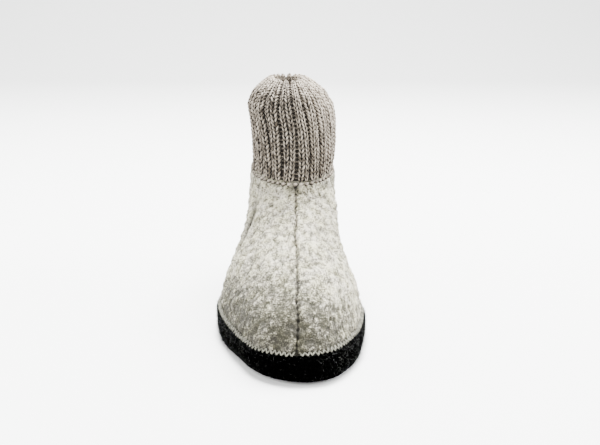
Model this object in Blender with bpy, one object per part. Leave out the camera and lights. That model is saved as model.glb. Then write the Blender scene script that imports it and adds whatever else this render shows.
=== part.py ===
"""Slipper boot: boiled wool upper, ribbed knit cuff, felt band, insole and rubber outsole.

A right shoe, in metres, +Z up. The toe points to -Y and the inner side of the foot to +X.
The origin is on the floor, under the middle of the shoe's own box.

Every curved piece is a grid of points. One direction runs round the foot and is the angle
"around": 0 at the toe seam, a quarter turn on the inner side, a half turn at the heel seam.
The other runs up the shoe and is "level", from 0 at the sole to 1 at the upper's top edge.
"""

from collections import namedtuple

import bmesh
import bpy
import numpy as np

# Overall sizes of the shoe
LENGTH = 0.258
BALL_WIDTH = 0.105
HEEL_WIDTH = 0.071
ANKLE_WIDTH = 0.0705
COLLAR_HEIGHT = 0.098
CUFF_HEIGHT = 0.0794

# Walls and thicknesses
FELT_WALL = 0.0030
BAND_WALL = 0.0025
KNIT_WALL = 0.0070
INSOLE_THICKNESS = 0.0030
SOLE_THICKNESS = 0.0045

# Heights of the band's top and bottom edges over the sole's underside
BAND_HEIGHT = 0.018
BAND_LIFT = 0.0007

# The sole's underside
TOE_SPRING = 0.0012
ARCH_LIFT = 0.0014
HEEL_SPRING = 0.0010
SOLE_CHAMFER = 0.0010

# Share of the cuff's height that is left at its back
CUFF_BACK = 0.88

# Where the knit is sewn to the felt
COLLAR_PINCH = 0.0022
LIP_WALL = 0.0030
TUCK = 0.0098
LIP_LIFT = 0.0014

# Centre seam, toe to collar and up the heel
SEAM_GROOVE = 0.0012
SEAM_PUFF = 0.0008

# Ribs of the knit
RIB_COUNT = 24
RIB_DEPTH = 0.0018
RIB_ROUNDNESS = 1.6
POINTS_PER_RIB = 5

# Level of the cuff by which its ribs have their full depth, and what is left past the fold
RIBS_FULL = 0.14
RIBS_INSIDE = 0.3

# How far the toe turns to the inner side, and the leg leans to the outer side
TOE_TURN = 0.19
LEG_LEAN = 0.004
CUFF_SWAY = 0.003
LEG_EGG = 0.08

# Space between neighbouring pieces
CLEARANCE = 0.0003

# Shares of the sole's length where its underside leaves the floor and comes back
TOE_FLAT_START = 0.22
TOE_FLAT_END = 0.45
HEEL_FLAT_START = 0.72
HEEL_FLAT_END = 0.95

# Shares of the length where the outline passes from ball width to heel width,
# and where the turn of the toe fades out
WAIST_START = 0.36
WAIST_END = 0.74
TURN_START = 0.11
TURN_END = 0.23

# Outline of the band seen from above. along: share of LENGTH from the toe. axis: share of
# BALL_WIDTH to the inner side. outer, inner: half widths, shares of the local half width.
PlanRow = namedtuple("PlanRow", "along axis outer inner")
PLAN = (
    PlanRow(0.000, 0.000, 0.000, 0.000),
    PlanRow(0.005, 0.000, 0.177, 0.177),
    PlanRow(0.015, 0.000, 0.315, 0.315),
    PlanRow(0.035, 0.000, 0.450, 0.450),
    PlanRow(0.065, 0.000, 0.571, 0.571),
    PlanRow(0.100, 0.000, 0.670, 0.672),
    PlanRow(0.145, 0.000, 0.775, 0.780),
    PlanRow(0.205, -0.006, 0.872, 0.885),
    PlanRow(0.270, -0.015, 0.962, 0.952),
    PlanRow(0.340, -0.030, 1.007, 1.000),
    PlanRow(0.420, -0.042, 1.024, 0.970),
    PlanRow(0.520, -0.046, 1.015, 0.925),
    PlanRow(0.620, -0.046, 1.043, 0.975),
    PlanRow(0.720, -0.044, 1.050, 1.030),
    PlanRow(0.820, -0.042, 1.006, 1.006),
    PlanRow(0.900, -0.040, 0.944, 0.944),
    PlanRow(0.960, -0.039, 0.704, 0.704),
    PlanRow(1.000, -0.038, 0.000, 0.000),
)

# Rings of the upper's outside, sole to top edge. front, back: shares of LENGTH.
# front_up, back_up: shares of the way from the sole's top to COLLAR_HEIGHT. tuck: share of
# TUCK above that. foot: share of the band's outline. leg: share of ANKLE_WIDTH.
# turn: share of TOE_TURN. pinch, lip: shares of COLLAR_PINCH and LIP_WALL by which the ring
# is drawn in.
UpperRow = namedtuple("UpperRow", "front front_up back back_up tuck foot leg turn pinch lip")
UPPER = (
    UpperRow(0.0132, 0.000, 0.988, 0.000, 0.0, 0.945, 0.000, 1.00, 0.0, 0.0),
    UpperRow(0.0115, 0.061, 0.990, 0.061, 0.0, 0.953, 0.000, 0.75, 0.0, 0.0),
    UpperRow(0.0160, 0.142, 0.989, 0.138, 0.0, 0.948, 0.000, 0.35, 0.0, 0.0),
    UpperRow(0.0260, 0.238, 0.986, 0.217, 0.0, 0.922, 0.005, 0.15, 0.0, 0.0),
    UpperRow(0.0450, 0.340, 0.981, 0.303, 0.0, 0.870, 0.020, 0.05, 0.0, 0.0),
    UpperRow(0.0850, 0.442, 0.975, 0.399, 0.0, 0.768, 0.060, 0.00, 0.0, 0.0),
    UpperRow(0.1550, 0.533, 0.968, 0.485, 0.0, 0.640, 0.140, 0.00, 0.0, 0.0),
    UpperRow(0.2400, 0.614, 0.961, 0.571, 0.0, 0.475, 0.305, 0.00, 0.0, 0.0),
    UpperRow(0.3370, 0.705, 0.954, 0.662, 0.0, 0.315, 0.520, 0.00, 0.0, 0.0),
    UpperRow(0.4260, 0.800, 0.947, 0.785, 0.0, 0.145, 0.745, 0.00, 0.0, 0.0),
    UpperRow(0.4870, 0.885, 0.940, 0.910, 0.0, 0.035, 0.905, 0.00, 0.0, 0.0),
    UpperRow(0.5110, 0.955, 0.934, 1.035, 0.0, 0.000, 0.965, 0.00, 0.0, 0.0),
    UpperRow(0.5120, 1.000, 0.932, 1.095, 0.0, 0.000, 0.965, 0.00, 1.0, 0.0),
    UpperRow(0.5120, 1.000, 0.932, 1.095, 0.3, 0.000, 0.965, 0.00, 1.0, 0.8),
    UpperRow(0.5120, 1.000, 0.932, 1.095, 0.6, 0.000, 0.965, 0.00, 1.0, 1.0),
    UpperRow(0.5120, 1.000, 0.932, 1.095, 1.0, 0.000, 0.965, 0.00, 1.0, 1.0),
)
COLLAR_ROW = 12

# Rings of the cuff's outside, felt to top fold. up: share of the cuff's height. front, back: shares
# of the collar's depth by which the ring is drawn in. width: share of the collar's width.
# sway: share of CUFF_SWAY to the outer side of the foot.
CuffRow = namedtuple("CuffRow", "up front back width sway")
CUFF = (
    CuffRow(0.000, 0.008, 0.008, 0.975, 0.0),
    CuffRow(0.090, 0.003, 0.003, 0.995, -0.2),
    CuffRow(0.240, -0.002, -0.002, 1.020, -0.4),
    CuffRow(0.420, -0.005, -0.005, 1.035, -0.3),
    CuffRow(0.600, -0.002, -0.002, 1.045, 0.2),
    CuffRow(0.740, 0.010, 0.020, 0.955, 0.7),
    CuffRow(0.850, 0.055, 0.110, 0.745, 0.9),
    CuffRow(0.930, 0.165, 0.240, 0.500, 1.1),
)

# Section of the band. out: share of its wall, 0 on the inner face. up: share of its height.
BandPoint = namedtuple("BandPoint", "out up")
BAND_OUTSIDE = (
    BandPoint(0.45, 0.000),
    BandPoint(0.85, 0.090),
    BandPoint(1.00, 0.280),
    BandPoint(1.04, 0.560),
    BandPoint(1.00, 0.820),
    BandPoint(0.80, 0.960),
    BandPoint(0.30, 1.000),
)

# Angles, in radians from each seam, that hold the groove and its puffed edges
SEAM_ANGLES = (0.0, 0.030, 0.085, 0.170)
EVEN_STEPS_PER_SIDE = 30
PUFF_SHARPNESS = 1.6

# Levels over which the seam's relief comes in above the band and goes out below the knit
SEAM_FADE_LOW = 0.05
SEAM_FADE_HIGH = 0.07

# Angles of the top fold's rings, and levels of the cuff's inside rings above its inner step
FOLD_ANGLES = (36.0, 72.0, 108.0, 144.0)
CUFF_INSIDE_LEVELS = (1.0, 0.86, 0.62, 0.40)
EVEN_RIB_LEVEL = 0.4

# Rings of the band's inner face, and how near to the band's top the upper has no other ring
BAND_INSIDE_RINGS = 4
FREE_LEVELS = 0.02

# Steps in which a level, or a length round the leg, is looked up
LEVEL_STEPS = 400
ROUND_STEPS = 2000
SHARP_ANGLE = 50.0


def remove_old_objects():
    """Empty the scene, one object at a time."""
    for item in list(bpy.data.objects):
        bpy.data.objects.remove(item, do_unlink=True)


def mix(first, second, share):
    """The value that lies a share of the way from the first to the second."""
    return first + (second - first) * share


def ease(value, start, end):
    """0 before start, 1 after end and a smooth S between them."""
    share = np.clip((value - start) / (end - start), 0.0, 1.0)
    return share * share * (3.0 - 2.0 * share)


def smooth_curve(keys, values, at):
    """A smooth curve through the values, with no overshoot between them.

    Each key's slope is the harmonic mean of the slopes beside it, or zero at a turning point.
    """
    keys = np.asarray(keys, dtype=float)
    values = np.asarray(values, dtype=float)
    steps = np.diff(keys)
    slopes = np.diff(values) / steps
    before = slopes[:-1]
    after = slopes[1:]
    same_way = before * after > 0.0
    safe_sum = np.where(same_way, before + after, 1.0)
    inner = np.where(same_way, 2.0 * before * after / safe_sum, 0.0)
    tangents = np.concatenate(([slopes[0]], inner, [slopes[-1]]))
    at = np.clip(np.asarray(at, dtype=float), keys[0], keys[-1])
    left = np.clip(np.searchsorted(keys, at, side="right") - 1, 0, len(steps) - 1)
    share = (at - keys[left]) / steps[left]
    start = values[left] + share * steps[left] * tangents[left]
    end = values[left + 1] - (1.0 - share) * steps[left] * tangents[left + 1]
    bend = share * share * (3.0 - 2.0 * share)
    return mix(start, end, bend)


def table_column(rows, column, keys, at):
    """One named column of a table, read as a smooth curve."""
    return smooth_curve(keys, [getattr(row, column) for row in rows], at)


def oval_half(around):
    """Half width of the leg's oval, 1 at its widest; a little fuller in front."""
    return np.abs(np.sin(around)) * (1.0 + LEG_EGG * np.cos(around))


def plan_half(around):
    """Half width and axis of the band's outline seen from above."""
    folded = np.arccos(np.clip(np.cos(around), -1.0, 1.0))
    keys = np.arccos(1.0 - 2.0 * np.array([row.along for row in PLAN]))
    along = (1.0 - np.cos(around)) / 2.0
    local = mix(BALL_WIDTH, HEEL_WIDTH, ease(along, WAIST_START, WAIST_END)) / 2.0
    outer = table_column(PLAN, "outer", keys, folded)
    inner = table_column(PLAN, "inner", keys, folded)
    half = np.where(np.sin(around) >= 0.0, inner, outer) * local
    axis = table_column(PLAN, "axis", keys, folded) * BALL_WIDTH
    return half, axis


def ground(y):
    """Height of the sole's underside over the floor: toe spring, arch and heel."""
    along = y / LENGTH
    toe = np.clip((TOE_FLAT_START - along) / TOE_FLAT_START, 0.0, 1.0) ** 2
    arch = np.clip((along - TOE_FLAT_END) / (HEEL_FLAT_START - TOE_FLAT_END), 0.0, 1.0)
    arch = np.where((arch > 0.0) & (arch < 1.0), np.sin(np.pi * arch) ** 2, 0.0)
    heel = np.clip((along - HEEL_FLAT_END) / (1.0 - HEEL_FLAT_END), 0.0, 1.0) ** 2
    return TOE_SPRING * toe + ARCH_LIFT * arch + HEEL_SPRING * heel


def upper_surface(level, around):
    """Points of the upper's outside, without its seam.

    y runs from the ring's front to its back as half a cosine. x is the axis plus or minus a
    half width, shared between the band's outline and the leg's oval.
    """
    level, around = np.broadcast_arrays(np.asarray(level, float), np.asarray(around, float))
    keys = np.linspace(0.0, 1.0, len(UPPER))
    ring = {name: table_column(UPPER, name, keys, level) for name in UpperRow._fields}
    along = (1.0 - np.cos(around)) / 2.0
    inset = ring["pinch"] * COLLAR_PINCH + ring["lip"] * LIP_WALL
    side = np.where(np.sin(around) >= 0.0, 1.0, -1.0)
    half, axis = plan_half(around)
    half = half * ring["foot"] + oval_half(around) * (ring["leg"] * ANKLE_WIDTH / 2.0 - inset)
    lean = -LEG_LEAN * np.sin(np.arccos(np.clip(np.cos(around), -1.0, 1.0)) / 2.0)
    x = mix(lean, axis, np.clip(ring["foot"], 0.0, 1.0)) + side * half
    y = mix(ring["front"] * LENGTH + inset, ring["back"] * LENGTH - inset, along)
    turn = TOE_TURN * ring["turn"] * (1.0 - ease(along, TURN_START, TURN_END))
    y = y - turn * x
    up = mix(ring["front_up"], ring["back_up"], along)
    base = SOLE_THICKNESS + CLEARANCE
    rise = ground(y) * (1.0 - up) ** 2
    z = base + rise + up * (COLLAR_HEIGHT - base) + ring["tuck"] * TUCK
    return np.stack([x, y, z], axis=-1)


def collar_ring():
    """Front, back and half width of the ring where the knit starts, and its two heights."""
    row = UPPER[COLLAR_ROW]
    front = row.front * LENGTH + COLLAR_PINCH
    back = row.back * LENGTH - COLLAR_PINCH
    half = row.leg * ANKLE_WIDTH / 2.0 - COLLAR_PINCH
    base = SOLE_THICKNESS + CLEARANCE
    front_height = mix(base, COLLAR_HEIGHT, row.front_up) + LIP_LIFT
    back_height = mix(base, COLLAR_HEIGHT, row.back_up) + LIP_LIFT
    return front, back, half, front_height, back_height


def cuff_surface(level, around):
    """Points of the cuff's outside without ribs: rings drawn in from the collar's ring."""
    level, around = np.broadcast_arrays(np.asarray(level, float), np.asarray(around, float))
    keys = np.linspace(0.0, 1.0, len(CUFF))
    ring = {name: table_column(CUFF, name, keys, level) for name in CuffRow._fields}
    front, back, half, front_height, back_height = collar_ring()
    depth = back - front
    along = (1.0 - np.cos(around)) / 2.0
    side = np.where(np.sin(around) >= 0.0, 1.0, -1.0)
    lean = -LEG_LEAN * np.sin(np.arccos(np.clip(np.cos(around), -1.0, 1.0)) / 2.0)
    x = lean - ring["sway"] * CUFF_SWAY + side * oval_half(around) * half * ring["width"]
    y = mix(front + ring["front"] * depth, back - ring["back"] * depth, along)
    z = mix(front_height, back_height, along) + ring["up"] * CUFF_HEIGHT * mix(1.0, CUFF_BACK, along)
    return np.stack([x, y, z], axis=-1)


def directions(surface, level, around):
    """Outward normals of a surface, and its tangents that point up the shoe."""
    step = 1e-4
    ahead = surface(level, around + step) - surface(level, around - step)
    upward = surface(np.clip(level + step, 0.0, 1.0), around)
    upward = upward - surface(np.clip(level - step, 0.0, 1.0), around)
    normal = np.cross(ahead, upward)
    normal = normal / np.linalg.norm(normal, axis=-1, keepdims=True)
    tangent = upward / np.linalg.norm(upward, axis=-1, keepdims=True)
    return normal, tangent


def offset(surface, level, around, distance):
    """Points at a distance outside a surface."""
    normal, _ = directions(surface, level, around)
    return surface(level, around) + normal * np.asarray(distance)[..., None]


def level_at(surface, height):
    """The level at which a surface's side, half way along, reaches a height."""
    levels = np.linspace(0.0, 1.0, LEVEL_STEPS)
    heights = surface(levels, np.full_like(levels, np.pi / 2.0))[:, 2]
    return float(np.interp(height, heights, levels))


def foot_angles():
    """Angles round the foot: close together at both seams and even between them."""
    seam = np.array(SEAM_ANGLES)
    even = np.linspace(seam[-1], np.pi - seam[-1], EVEN_STEPS_PER_SIDE)
    inner = np.concatenate((seam[:-1], even, np.pi - seam[:-1][::-1]))
    return np.concatenate((inner, 2.0 * np.pi - inner[1:-1][::-1]))


def rib_angles():
    """Angles round the leg at even steps of length, so that all ribs are as wide."""
    fine = np.linspace(0.0, 2.0 * np.pi, ROUND_STEPS)
    points = cuff_surface(np.full_like(fine, EVEN_RIB_LEVEL), fine)
    lengths = np.linalg.norm(np.diff(points, axis=0), axis=1)
    travelled = np.concatenate(([0.0], np.cumsum(lengths)))
    count = RIB_COUNT * POINTS_PER_RIB
    wanted = np.arange(count) / count * travelled[-1]
    return np.interp(wanted, travelled, fine)


def rib_valley():
    """Depth of the knit's valleys at each rib angle, 1 in the valley and 0 on the rib."""
    phase = np.arange(RIB_COUNT * POINTS_PER_RIB) / POINTS_PER_RIB
    return (0.5 + 0.5 * np.cos(2.0 * np.pi * phase)) ** RIB_ROUNDNESS


def seam_relief(level, around):
    """The centre seam on the upper: a groove with a puffed edge on each side."""
    to_front = np.arccos(np.clip(np.cos(around), -1.0, 1.0))
    to_seam = np.minimum(to_front, np.pi - to_front)
    groove = np.exp(-(to_seam / SEAM_ANGLES[1]) ** 2)
    puff = np.exp(-((to_seam - SEAM_ANGLES[2]) / SEAM_ANGLES[2] * PUFF_SHARPNESS) ** 2)
    band_top = level_at(upper_surface, BAND_HEIGHT)
    collar = COLLAR_ROW / (len(UPPER) - 1)
    shown = ease(level, band_top, band_top + SEAM_FADE_LOW)
    shown = shown * (1.0 - ease(level, collar - SEAM_FADE_HIGH, collar))
    return shown * (SEAM_PUFF * puff - SEAM_GROOVE * groove)


def top_edge_height(y):
    """Height of the felt's top edge over a place: a plane from its front to its back."""
    ends = upper_surface(np.ones(2), np.array([0.0, np.pi]))
    share = (y - ends[0, 1]) / (ends[1, 1] - ends[0, 1])
    return mix(ends[0, 2], ends[1, 2], share)


def make_material(name, colour, roughness):
    """A Principled material of one colour."""
    material = bpy.data.materials.new(name)
    material.use_nodes = True
    shader = material.node_tree.nodes["Principled BSDF"]
    shader.inputs["Base Color"].default_value = (*colour, 1.0)
    shader.inputs["Roughness"].default_value = roughness
    shader.inputs["Metallic"].default_value = 0.0
    return material


def make_object(name, points, faces, material, collection):
    """A smooth closed mesh object with its faces pointing outwards."""
    mesh = bpy.data.meshes.new(name)
    mesh.from_pydata(points.reshape(-1, 3).tolist(), [], faces)
    shape = bmesh.new()
    shape.from_mesh(mesh)
    bmesh.ops.recalc_face_normals(shape, faces=shape.faces)
    shape.to_mesh(mesh)
    shape.free()
    mesh.shade_smooth()
    mesh.set_sharp_from_angle(angle=np.radians(SHARP_ANGLE))
    mesh.materials.append(material)
    item = bpy.data.objects.new(name, mesh)
    collection.objects.link(item)
    return item


def wall_faces(rows, columns, rows_close):
    """Quads between neighbouring rings, which always close round the foot."""
    faces = []
    for row in range(rows if rows_close else rows - 1):
        above = (row + 1) % rows
        for column in range(columns):
            beside = (column + 1) % columns
            faces.append((row * columns + column, row * columns + beside,
                          above * columns + beside, above * columns + column))
    return faces


def cap_faces(first, columns, reverse):
    """Strips across a ring, from each point to the one opposite it."""
    half = columns // 2
    faces = []
    for step in range(half):
        left = first + step
        left_next = left + 1
        right = first + (columns - step) % columns
        right_next = first + columns - step - 1
        strip = [left, left_next, right_next, right]
        strip = list(dict.fromkeys(strip))
        faces.append(tuple(reversed(strip)) if reverse else tuple(strip))
    return faces


def shell_object(name, rings, material, collection):
    """A tube-like wall whose section is a closed loop of rings."""
    points = np.stack(rings)
    faces = wall_faces(points.shape[0], points.shape[1], rows_close=True)
    return make_object(name, points, faces, material, collection)


def slab_object(name, rings, material, collection):
    """A flat piece: a side wall of rings, closed by strips below and above."""
    points = np.stack(rings)
    rows, columns = points.shape[:2]
    faces = wall_faces(rows, columns, rows_close=False)
    faces += cap_faces(0, columns, reverse=True)
    faces += cap_faces((rows - 1) * columns, columns, reverse=False)
    return make_object(name, points, faces, material, collection)


def slab_ring(around, distance, height):
    """A ring of the upper's foot outline at a height over the sole's underside.

    Points opposite each other share one y, so the strips between them lie flat.
    """
    ring = offset(upper_surface, np.zeros_like(around), around, np.full_like(around, distance))
    z = ground(ring[:, 1]) + height
    return np.stack([ring[:, 0], ring[:, 1], z], axis=-1)


def build_outsole(collection):
    """Rubber outsole inside the band, with a chamfered lower edge."""
    around = foot_angles()
    rings = [
        slab_ring(around, -SOLE_CHAMFER, 0.0),
        slab_ring(around, 0.0, SOLE_CHAMFER),
        slab_ring(around, 0.0, SOLE_THICKNESS),
    ]
    return slab_object("outsole", rings, make_material("black_rubber", (0.012, 0.012, 0.012), 0.75),
                       collection)


def build_insole(collection):
    """Felt insole on the outsole, inside the upper's wall."""
    around = foot_angles()
    bottom = SOLE_THICKNESS + CLEARANCE
    edge = -(FELT_WALL + CLEARANCE)
    rounding = INSOLE_THICKNESS / 4.0
    rings = [
        slab_ring(around, edge, bottom),
        slab_ring(around, edge, bottom + INSOLE_THICKNESS - rounding),
        slab_ring(around, edge - rounding, bottom + INSOLE_THICKNESS),
    ]
    return slab_object("insole", rings, make_material("insole_felt", (0.42, 0.40, 0.36), 0.95),
                       collection)


def upper_levels():
    """Levels of the upper's rings: the band's own, the table's rows, and the lip's own."""
    band_top = level_at(upper_surface, BAND_HEIGHT)
    rows = np.arange(len(UPPER)) / (len(UPPER) - 1)
    above = rows[rows > band_top + FREE_LEVELS]
    return np.concatenate((np.linspace(0.0, band_top, 3), above))


def build_upper(collection):
    """Boiled wool upper: one hollow wall, open underneath and at the collar."""
    around = foot_angles()
    outside = []
    inside = []
    for level in upper_levels():
        levels = np.full_like(around, level)
        outside.append(offset(upper_surface, levels, around, seam_relief(levels, around)))
        inside.append(offset(upper_surface, levels, around, np.full_like(around, -FELT_WALL)))
    inside[-1][:, 2] = top_edge_height(inside[-1][:, 1])
    rings = outside + inside[::-1]
    return shell_object("upper", rings, make_material("grey_boiled_wool", (0.52, 0.50, 0.45), 0.95),
                        collection)


def build_band(collection):
    """Felt band round the lower edge, outside the upper and the outsole's side."""
    around = foot_angles()
    band_top = level_at(upper_surface, BAND_HEIGHT)
    inside = []
    for level in np.linspace(0.0, band_top, BAND_INSIDE_RINGS):
        levels = np.full_like(around, level)
        inside.append(offset(upper_surface, levels, around, np.full_like(around, CLEARANCE)))
    foot = slab_ring(around, CLEARANCE, BAND_LIFT)
    outside = []
    for point in BAND_OUTSIDE:
        height = mix(BAND_LIFT, BAND_HEIGHT, point.up)
        distance = CLEARANCE + point.out * BAND_WALL
        if height < SOLE_THICKNESS + CLEARANCE:
            outside.append(slab_ring(around, distance, height))
        else:
            levels = np.full_like(around, level_at(upper_surface, height))
            distances = np.full_like(around, distance)
            outside.append(offset(upper_surface, levels, around, distances))
    rings = outside + inside[::-1] + [foot]
    return shell_object("felt_band", rings, make_material("black_felt", (0.010, 0.010, 0.010), 0.95),
                        collection)


def build_cuff(collection):
    """Ribbed knit cuff, folded double, with a lip over the felt's tucked edge."""
    around = rib_angles()
    valley = rib_valley()
    fold_radius = KNIT_WALL / 2.0
    outside = []
    for level in np.linspace(0.0, 1.0, len(CUFF)):
        levels = np.full_like(around, level)
        depth = -RIB_DEPTH * valley * ease(level, 0.0, RIBS_FULL)
        outside.append(offset(cuff_surface, levels, around, depth))
    top = np.ones_like(around)
    normal, tangent = directions(cuff_surface, top, around)
    middle = cuff_surface(top, around) - normal * fold_radius
    fold = []
    for angle in np.radians(FOLD_ANGLES):
        reach = fold_radius - RIB_DEPTH * valley * mix(1.0, RIBS_INSIDE, angle / np.pi)
        direction = normal * np.cos(angle) + tangent * np.sin(angle)
        fold.append(middle + direction * reach[:, None])
    front, back = collar_ring()[:2]
    seat_level = level_at(cuff_surface, top_edge_height((front + back) / 2.0) + CLEARANCE)
    inside = []
    for level in (*CUFF_INSIDE_LEVELS, seat_level):
        levels = np.full_like(around, level)
        depth = np.full_like(around, -KNIT_WALL)
        inside.append(offset(cuff_surface, levels, around, depth))
    inside[-1][:, 2] = top_edge_height(inside[-1][:, 1]) + CLEARANCE
    lip = []
    collar = COLLAR_ROW / (len(UPPER) - 1)
    for level in (1.0, mix(collar, 1.0, 2.0 / 3.0), mix(collar, 1.0, 1.0 / 3.0)):
        levels = np.full_like(around, level)
        lip.append(offset(upper_surface, levels, around, np.full_like(around, CLEARANCE)))
    lip[0][:, 2] = top_edge_height(lip[0][:, 1]) + CLEARANCE
    rings = outside + fold + inside + lip
    return shell_object("knit_cuff", rings, make_material("taupe_knit", (0.24, 0.21, 0.18), 0.95),
                        collection)


def stand_on_origin(pieces, collection):
    """Hang the pieces on an empty, moved so that the shoe's box stands on the origin."""
    corners = np.concatenate([
        np.array([vertex.co[:] for vertex in piece.data.vertices]) for piece in pieces
    ])
    low = corners.min(axis=0)
    high = corners.max(axis=0)
    frame = bpy.data.objects.new("boot_frame", None)
    frame.location = (-(low[0] + high[0]) / 2.0, -(low[1] + high[1]) / 2.0, -low[2])
    collection.objects.link(frame)
    for piece in pieces:
        piece.parent = frame


def main():
    """Build the shoe's five pieces."""
    remove_old_objects()
    collection = bpy.data.collections.new("slipper_boot")
    bpy.context.scene.collection.children.link(collection)
    pieces = [
        build_outsole(collection),
        build_insole(collection),
        build_upper(collection),
        build_band(collection),
        build_cuff(collection),
    ]
    stand_on_origin(pieces, collection)
    bpy.context.view_layer.update()


main()
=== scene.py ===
"""Looks of the slipper boot: boiled wool upper, rib knit cuff, felt band, insole and sole.

Lengths are in metres. The toe points to -Y, the inner side of the foot to +X and +Z is up.
"""

import logging
from collections.abc import Callable, Sequence
from dataclasses import astuple, dataclass
from enum import Enum
from typing import TypeVar

import bpy
import numpy as np
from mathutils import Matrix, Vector


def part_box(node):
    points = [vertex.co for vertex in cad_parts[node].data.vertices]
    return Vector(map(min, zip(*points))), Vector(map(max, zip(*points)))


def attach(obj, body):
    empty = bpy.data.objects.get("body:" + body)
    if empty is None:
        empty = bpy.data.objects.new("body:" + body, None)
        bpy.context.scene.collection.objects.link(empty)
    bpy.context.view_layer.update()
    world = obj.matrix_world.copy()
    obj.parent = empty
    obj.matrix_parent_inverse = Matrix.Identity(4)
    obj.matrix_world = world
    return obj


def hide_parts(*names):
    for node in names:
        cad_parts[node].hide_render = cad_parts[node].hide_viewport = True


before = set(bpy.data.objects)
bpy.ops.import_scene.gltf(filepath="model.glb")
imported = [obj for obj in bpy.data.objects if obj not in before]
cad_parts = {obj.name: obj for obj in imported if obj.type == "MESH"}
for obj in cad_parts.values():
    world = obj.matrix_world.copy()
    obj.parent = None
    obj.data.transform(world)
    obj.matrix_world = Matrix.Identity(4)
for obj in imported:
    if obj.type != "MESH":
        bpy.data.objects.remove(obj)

Array = np.ndarray
Triple = tuple[float, float, float]
Colour = Triple
LOG = logging.getLogger("slipper_boot")
ROOT_BODY = "root"
FULL_TURN = 2.0 * np.pi
FLOOR_GAP = 0.0003
HASH_AXES = np.array([374761393, 668265263, 2246822519], dtype=np.uint32)
HASH_STIRS = (np.uint32(1274126177), np.uint32(2654435761))


def mix(first: Array | float, second: Array | float, share: Array | float) -> Array | float:
    """The value that lies a share of the way from the first to the second."""
    return first + (second - first) * share


def ease(value: Array | float, start: float, end: float) -> Array:
    """0 before start, 1 after end and a smooth S between them."""
    share = np.clip((value - start) / (end - start), 0.0, 1.0)
    return share * share * (3.0 - 2.0 * share)


def bell(value: Array | float, width: float) -> Array:
    """1 at zero, falling off on both sides: e to the minus of value over width, squared."""
    return np.exp(-(value / width) ** 2)


def unit(vectors: Array) -> Array:
    """Vectors over their own lengths."""
    return vectors / np.maximum(np.linalg.norm(vectors, axis=-1, keepdims=True), 1e-12)


def fold_angle(around: Array) -> Array:
    """Angle from the toe seam, 0 to pi, the same on both sides of the foot."""
    return np.arccos(np.clip(np.cos(around), -1.0, 1.0))


def smooth_curve(keys: Sequence[float], values: Sequence[float], at: Array) -> Array:
    """A smooth curve through the values that never swings past them.

    Each key's slope is the harmonic mean of the slopes beside it, or zero at a turn.

    Args:
        keys: Places of the values, rising.
        values: The values at the keys.
        at: Places to read.

    Returns:
        The curve's values there.
    """
    keys = np.asarray(keys, dtype=float)
    values = np.asarray(values, dtype=float)
    steps = np.diff(keys)
    slopes = np.diff(values) / steps
    before, after = slopes[:-1], slopes[1:]
    same_way = before * after > 0.0
    safe_sum = np.where(same_way, before + after, 1.0)
    inner = np.where(same_way, 2.0 * before * after / safe_sum, 0.0)
    tangents = np.concatenate(([slopes[0]], inner, [slopes[-1]]))
    at = np.clip(np.asarray(at, dtype=float), keys[0], keys[-1])
    left = np.clip(np.searchsorted(keys, at, side="right") - 1, 0, len(steps) - 1)
    share = (at - keys[left]) / steps[left]
    start = values[left] + share * steps[left] * tangents[left]
    end = values[left + 1] - (1.0 - share) * steps[left] * tangents[left + 1]
    return mix(start, end, share * share * (3.0 - 2.0 * share))


def lattice_number(cells: Array, seed: int) -> Array:
    """A steady pseudo-random number from 0 to 1 for each whole-number cell.

    Args:
        cells: Whole cell coordinates, three to a cell.
        seed: Which of the patterns to use.

    Returns:
        One number a cell, from multiplied and shifted whole numbers.
    """
    whole = cells.astype(np.int64).astype(np.uint32)
    mixed = (whole * HASH_AXES).sum(axis=-1, dtype=np.uint32) + np.uint32(seed * 362437 + 977)
    mixed = (mixed ^ (mixed >> np.uint32(13))) * HASH_STIRS[0]
    mixed = (mixed ^ (mixed >> np.uint32(15))) * HASH_STIRS[1]
    return (mixed ^ (mixed >> np.uint32(16))).astype(float) / 2.0 ** 32


def cloud(points: Array, size: float, seed: int) -> Array:
    """Soft noise from -1 to 1: random corner values of a cubic grid, eased between corners.

    Args:
        points: Places in space.
        size: Edge of the grid's cubes.
        seed: Which pattern.

    Returns:
        One value a point.
    """
    scaled = points / size
    base = np.floor(scaled)
    share = scaled - base
    share = share * share * (3.0 - 2.0 * share)
    total = np.zeros(points.shape[:-1])
    for corner in np.ndindex(2, 2, 2):
        step = np.array(corner, dtype=float)
        weight = np.prod(np.where(step > 0.0, share, 1.0 - share), axis=-1)
        total += weight * lattice_number(base + step, seed)
    return total * 2.0 - 1.0


def lumps(points: Array, size: float, seed: int) -> tuple[Array, Array, Array]:
    """Round lumps packed side by side, as pebbles or felted wool are.

    One centre sits at random in each cube of a grid. A lump's height falls with the square of
    the distance to the nearest centre, and the crease lies where two centres are as near.

    Args:
        points: Places in space.
        size: Mean size of a lump.
        seed: Which pattern.

    Returns:
        Height, nearness to a crease, and a random number of the lump's own, all 0 to 1.
    """
    scaled = points / size
    base = np.floor(scaled)
    nearest = np.full(points.shape[:-1], 9.0)
    second = np.full(points.shape[:-1], 9.0)
    own = np.zeros(points.shape[:-1])
    for step in np.ndindex(3, 3, 3):
        cell = base + np.array(step, dtype=float) - 1.0
        centre = np.stack([lattice_number(cell, seed + axis) for axis in range(3)], axis=-1)
        distance = np.linalg.norm(cell + centre - scaled, axis=-1)
        second = np.minimum(second, np.maximum(nearest, distance))
        own = np.where(distance < nearest, lattice_number(cell, seed + 3), own)
        nearest = np.minimum(nearest, distance)
    height = np.clip(1.0 - nearest ** 2, 0.0, 1.0)
    return height, 1.0 - ease(second - nearest, 0.0, 0.35), own


@dataclass(frozen=True)
class PlanRow:
    """One row of the band's outline from above, as shares of the length and half widths."""

    along: float
    axis: float
    outer: float
    inner: float


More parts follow.
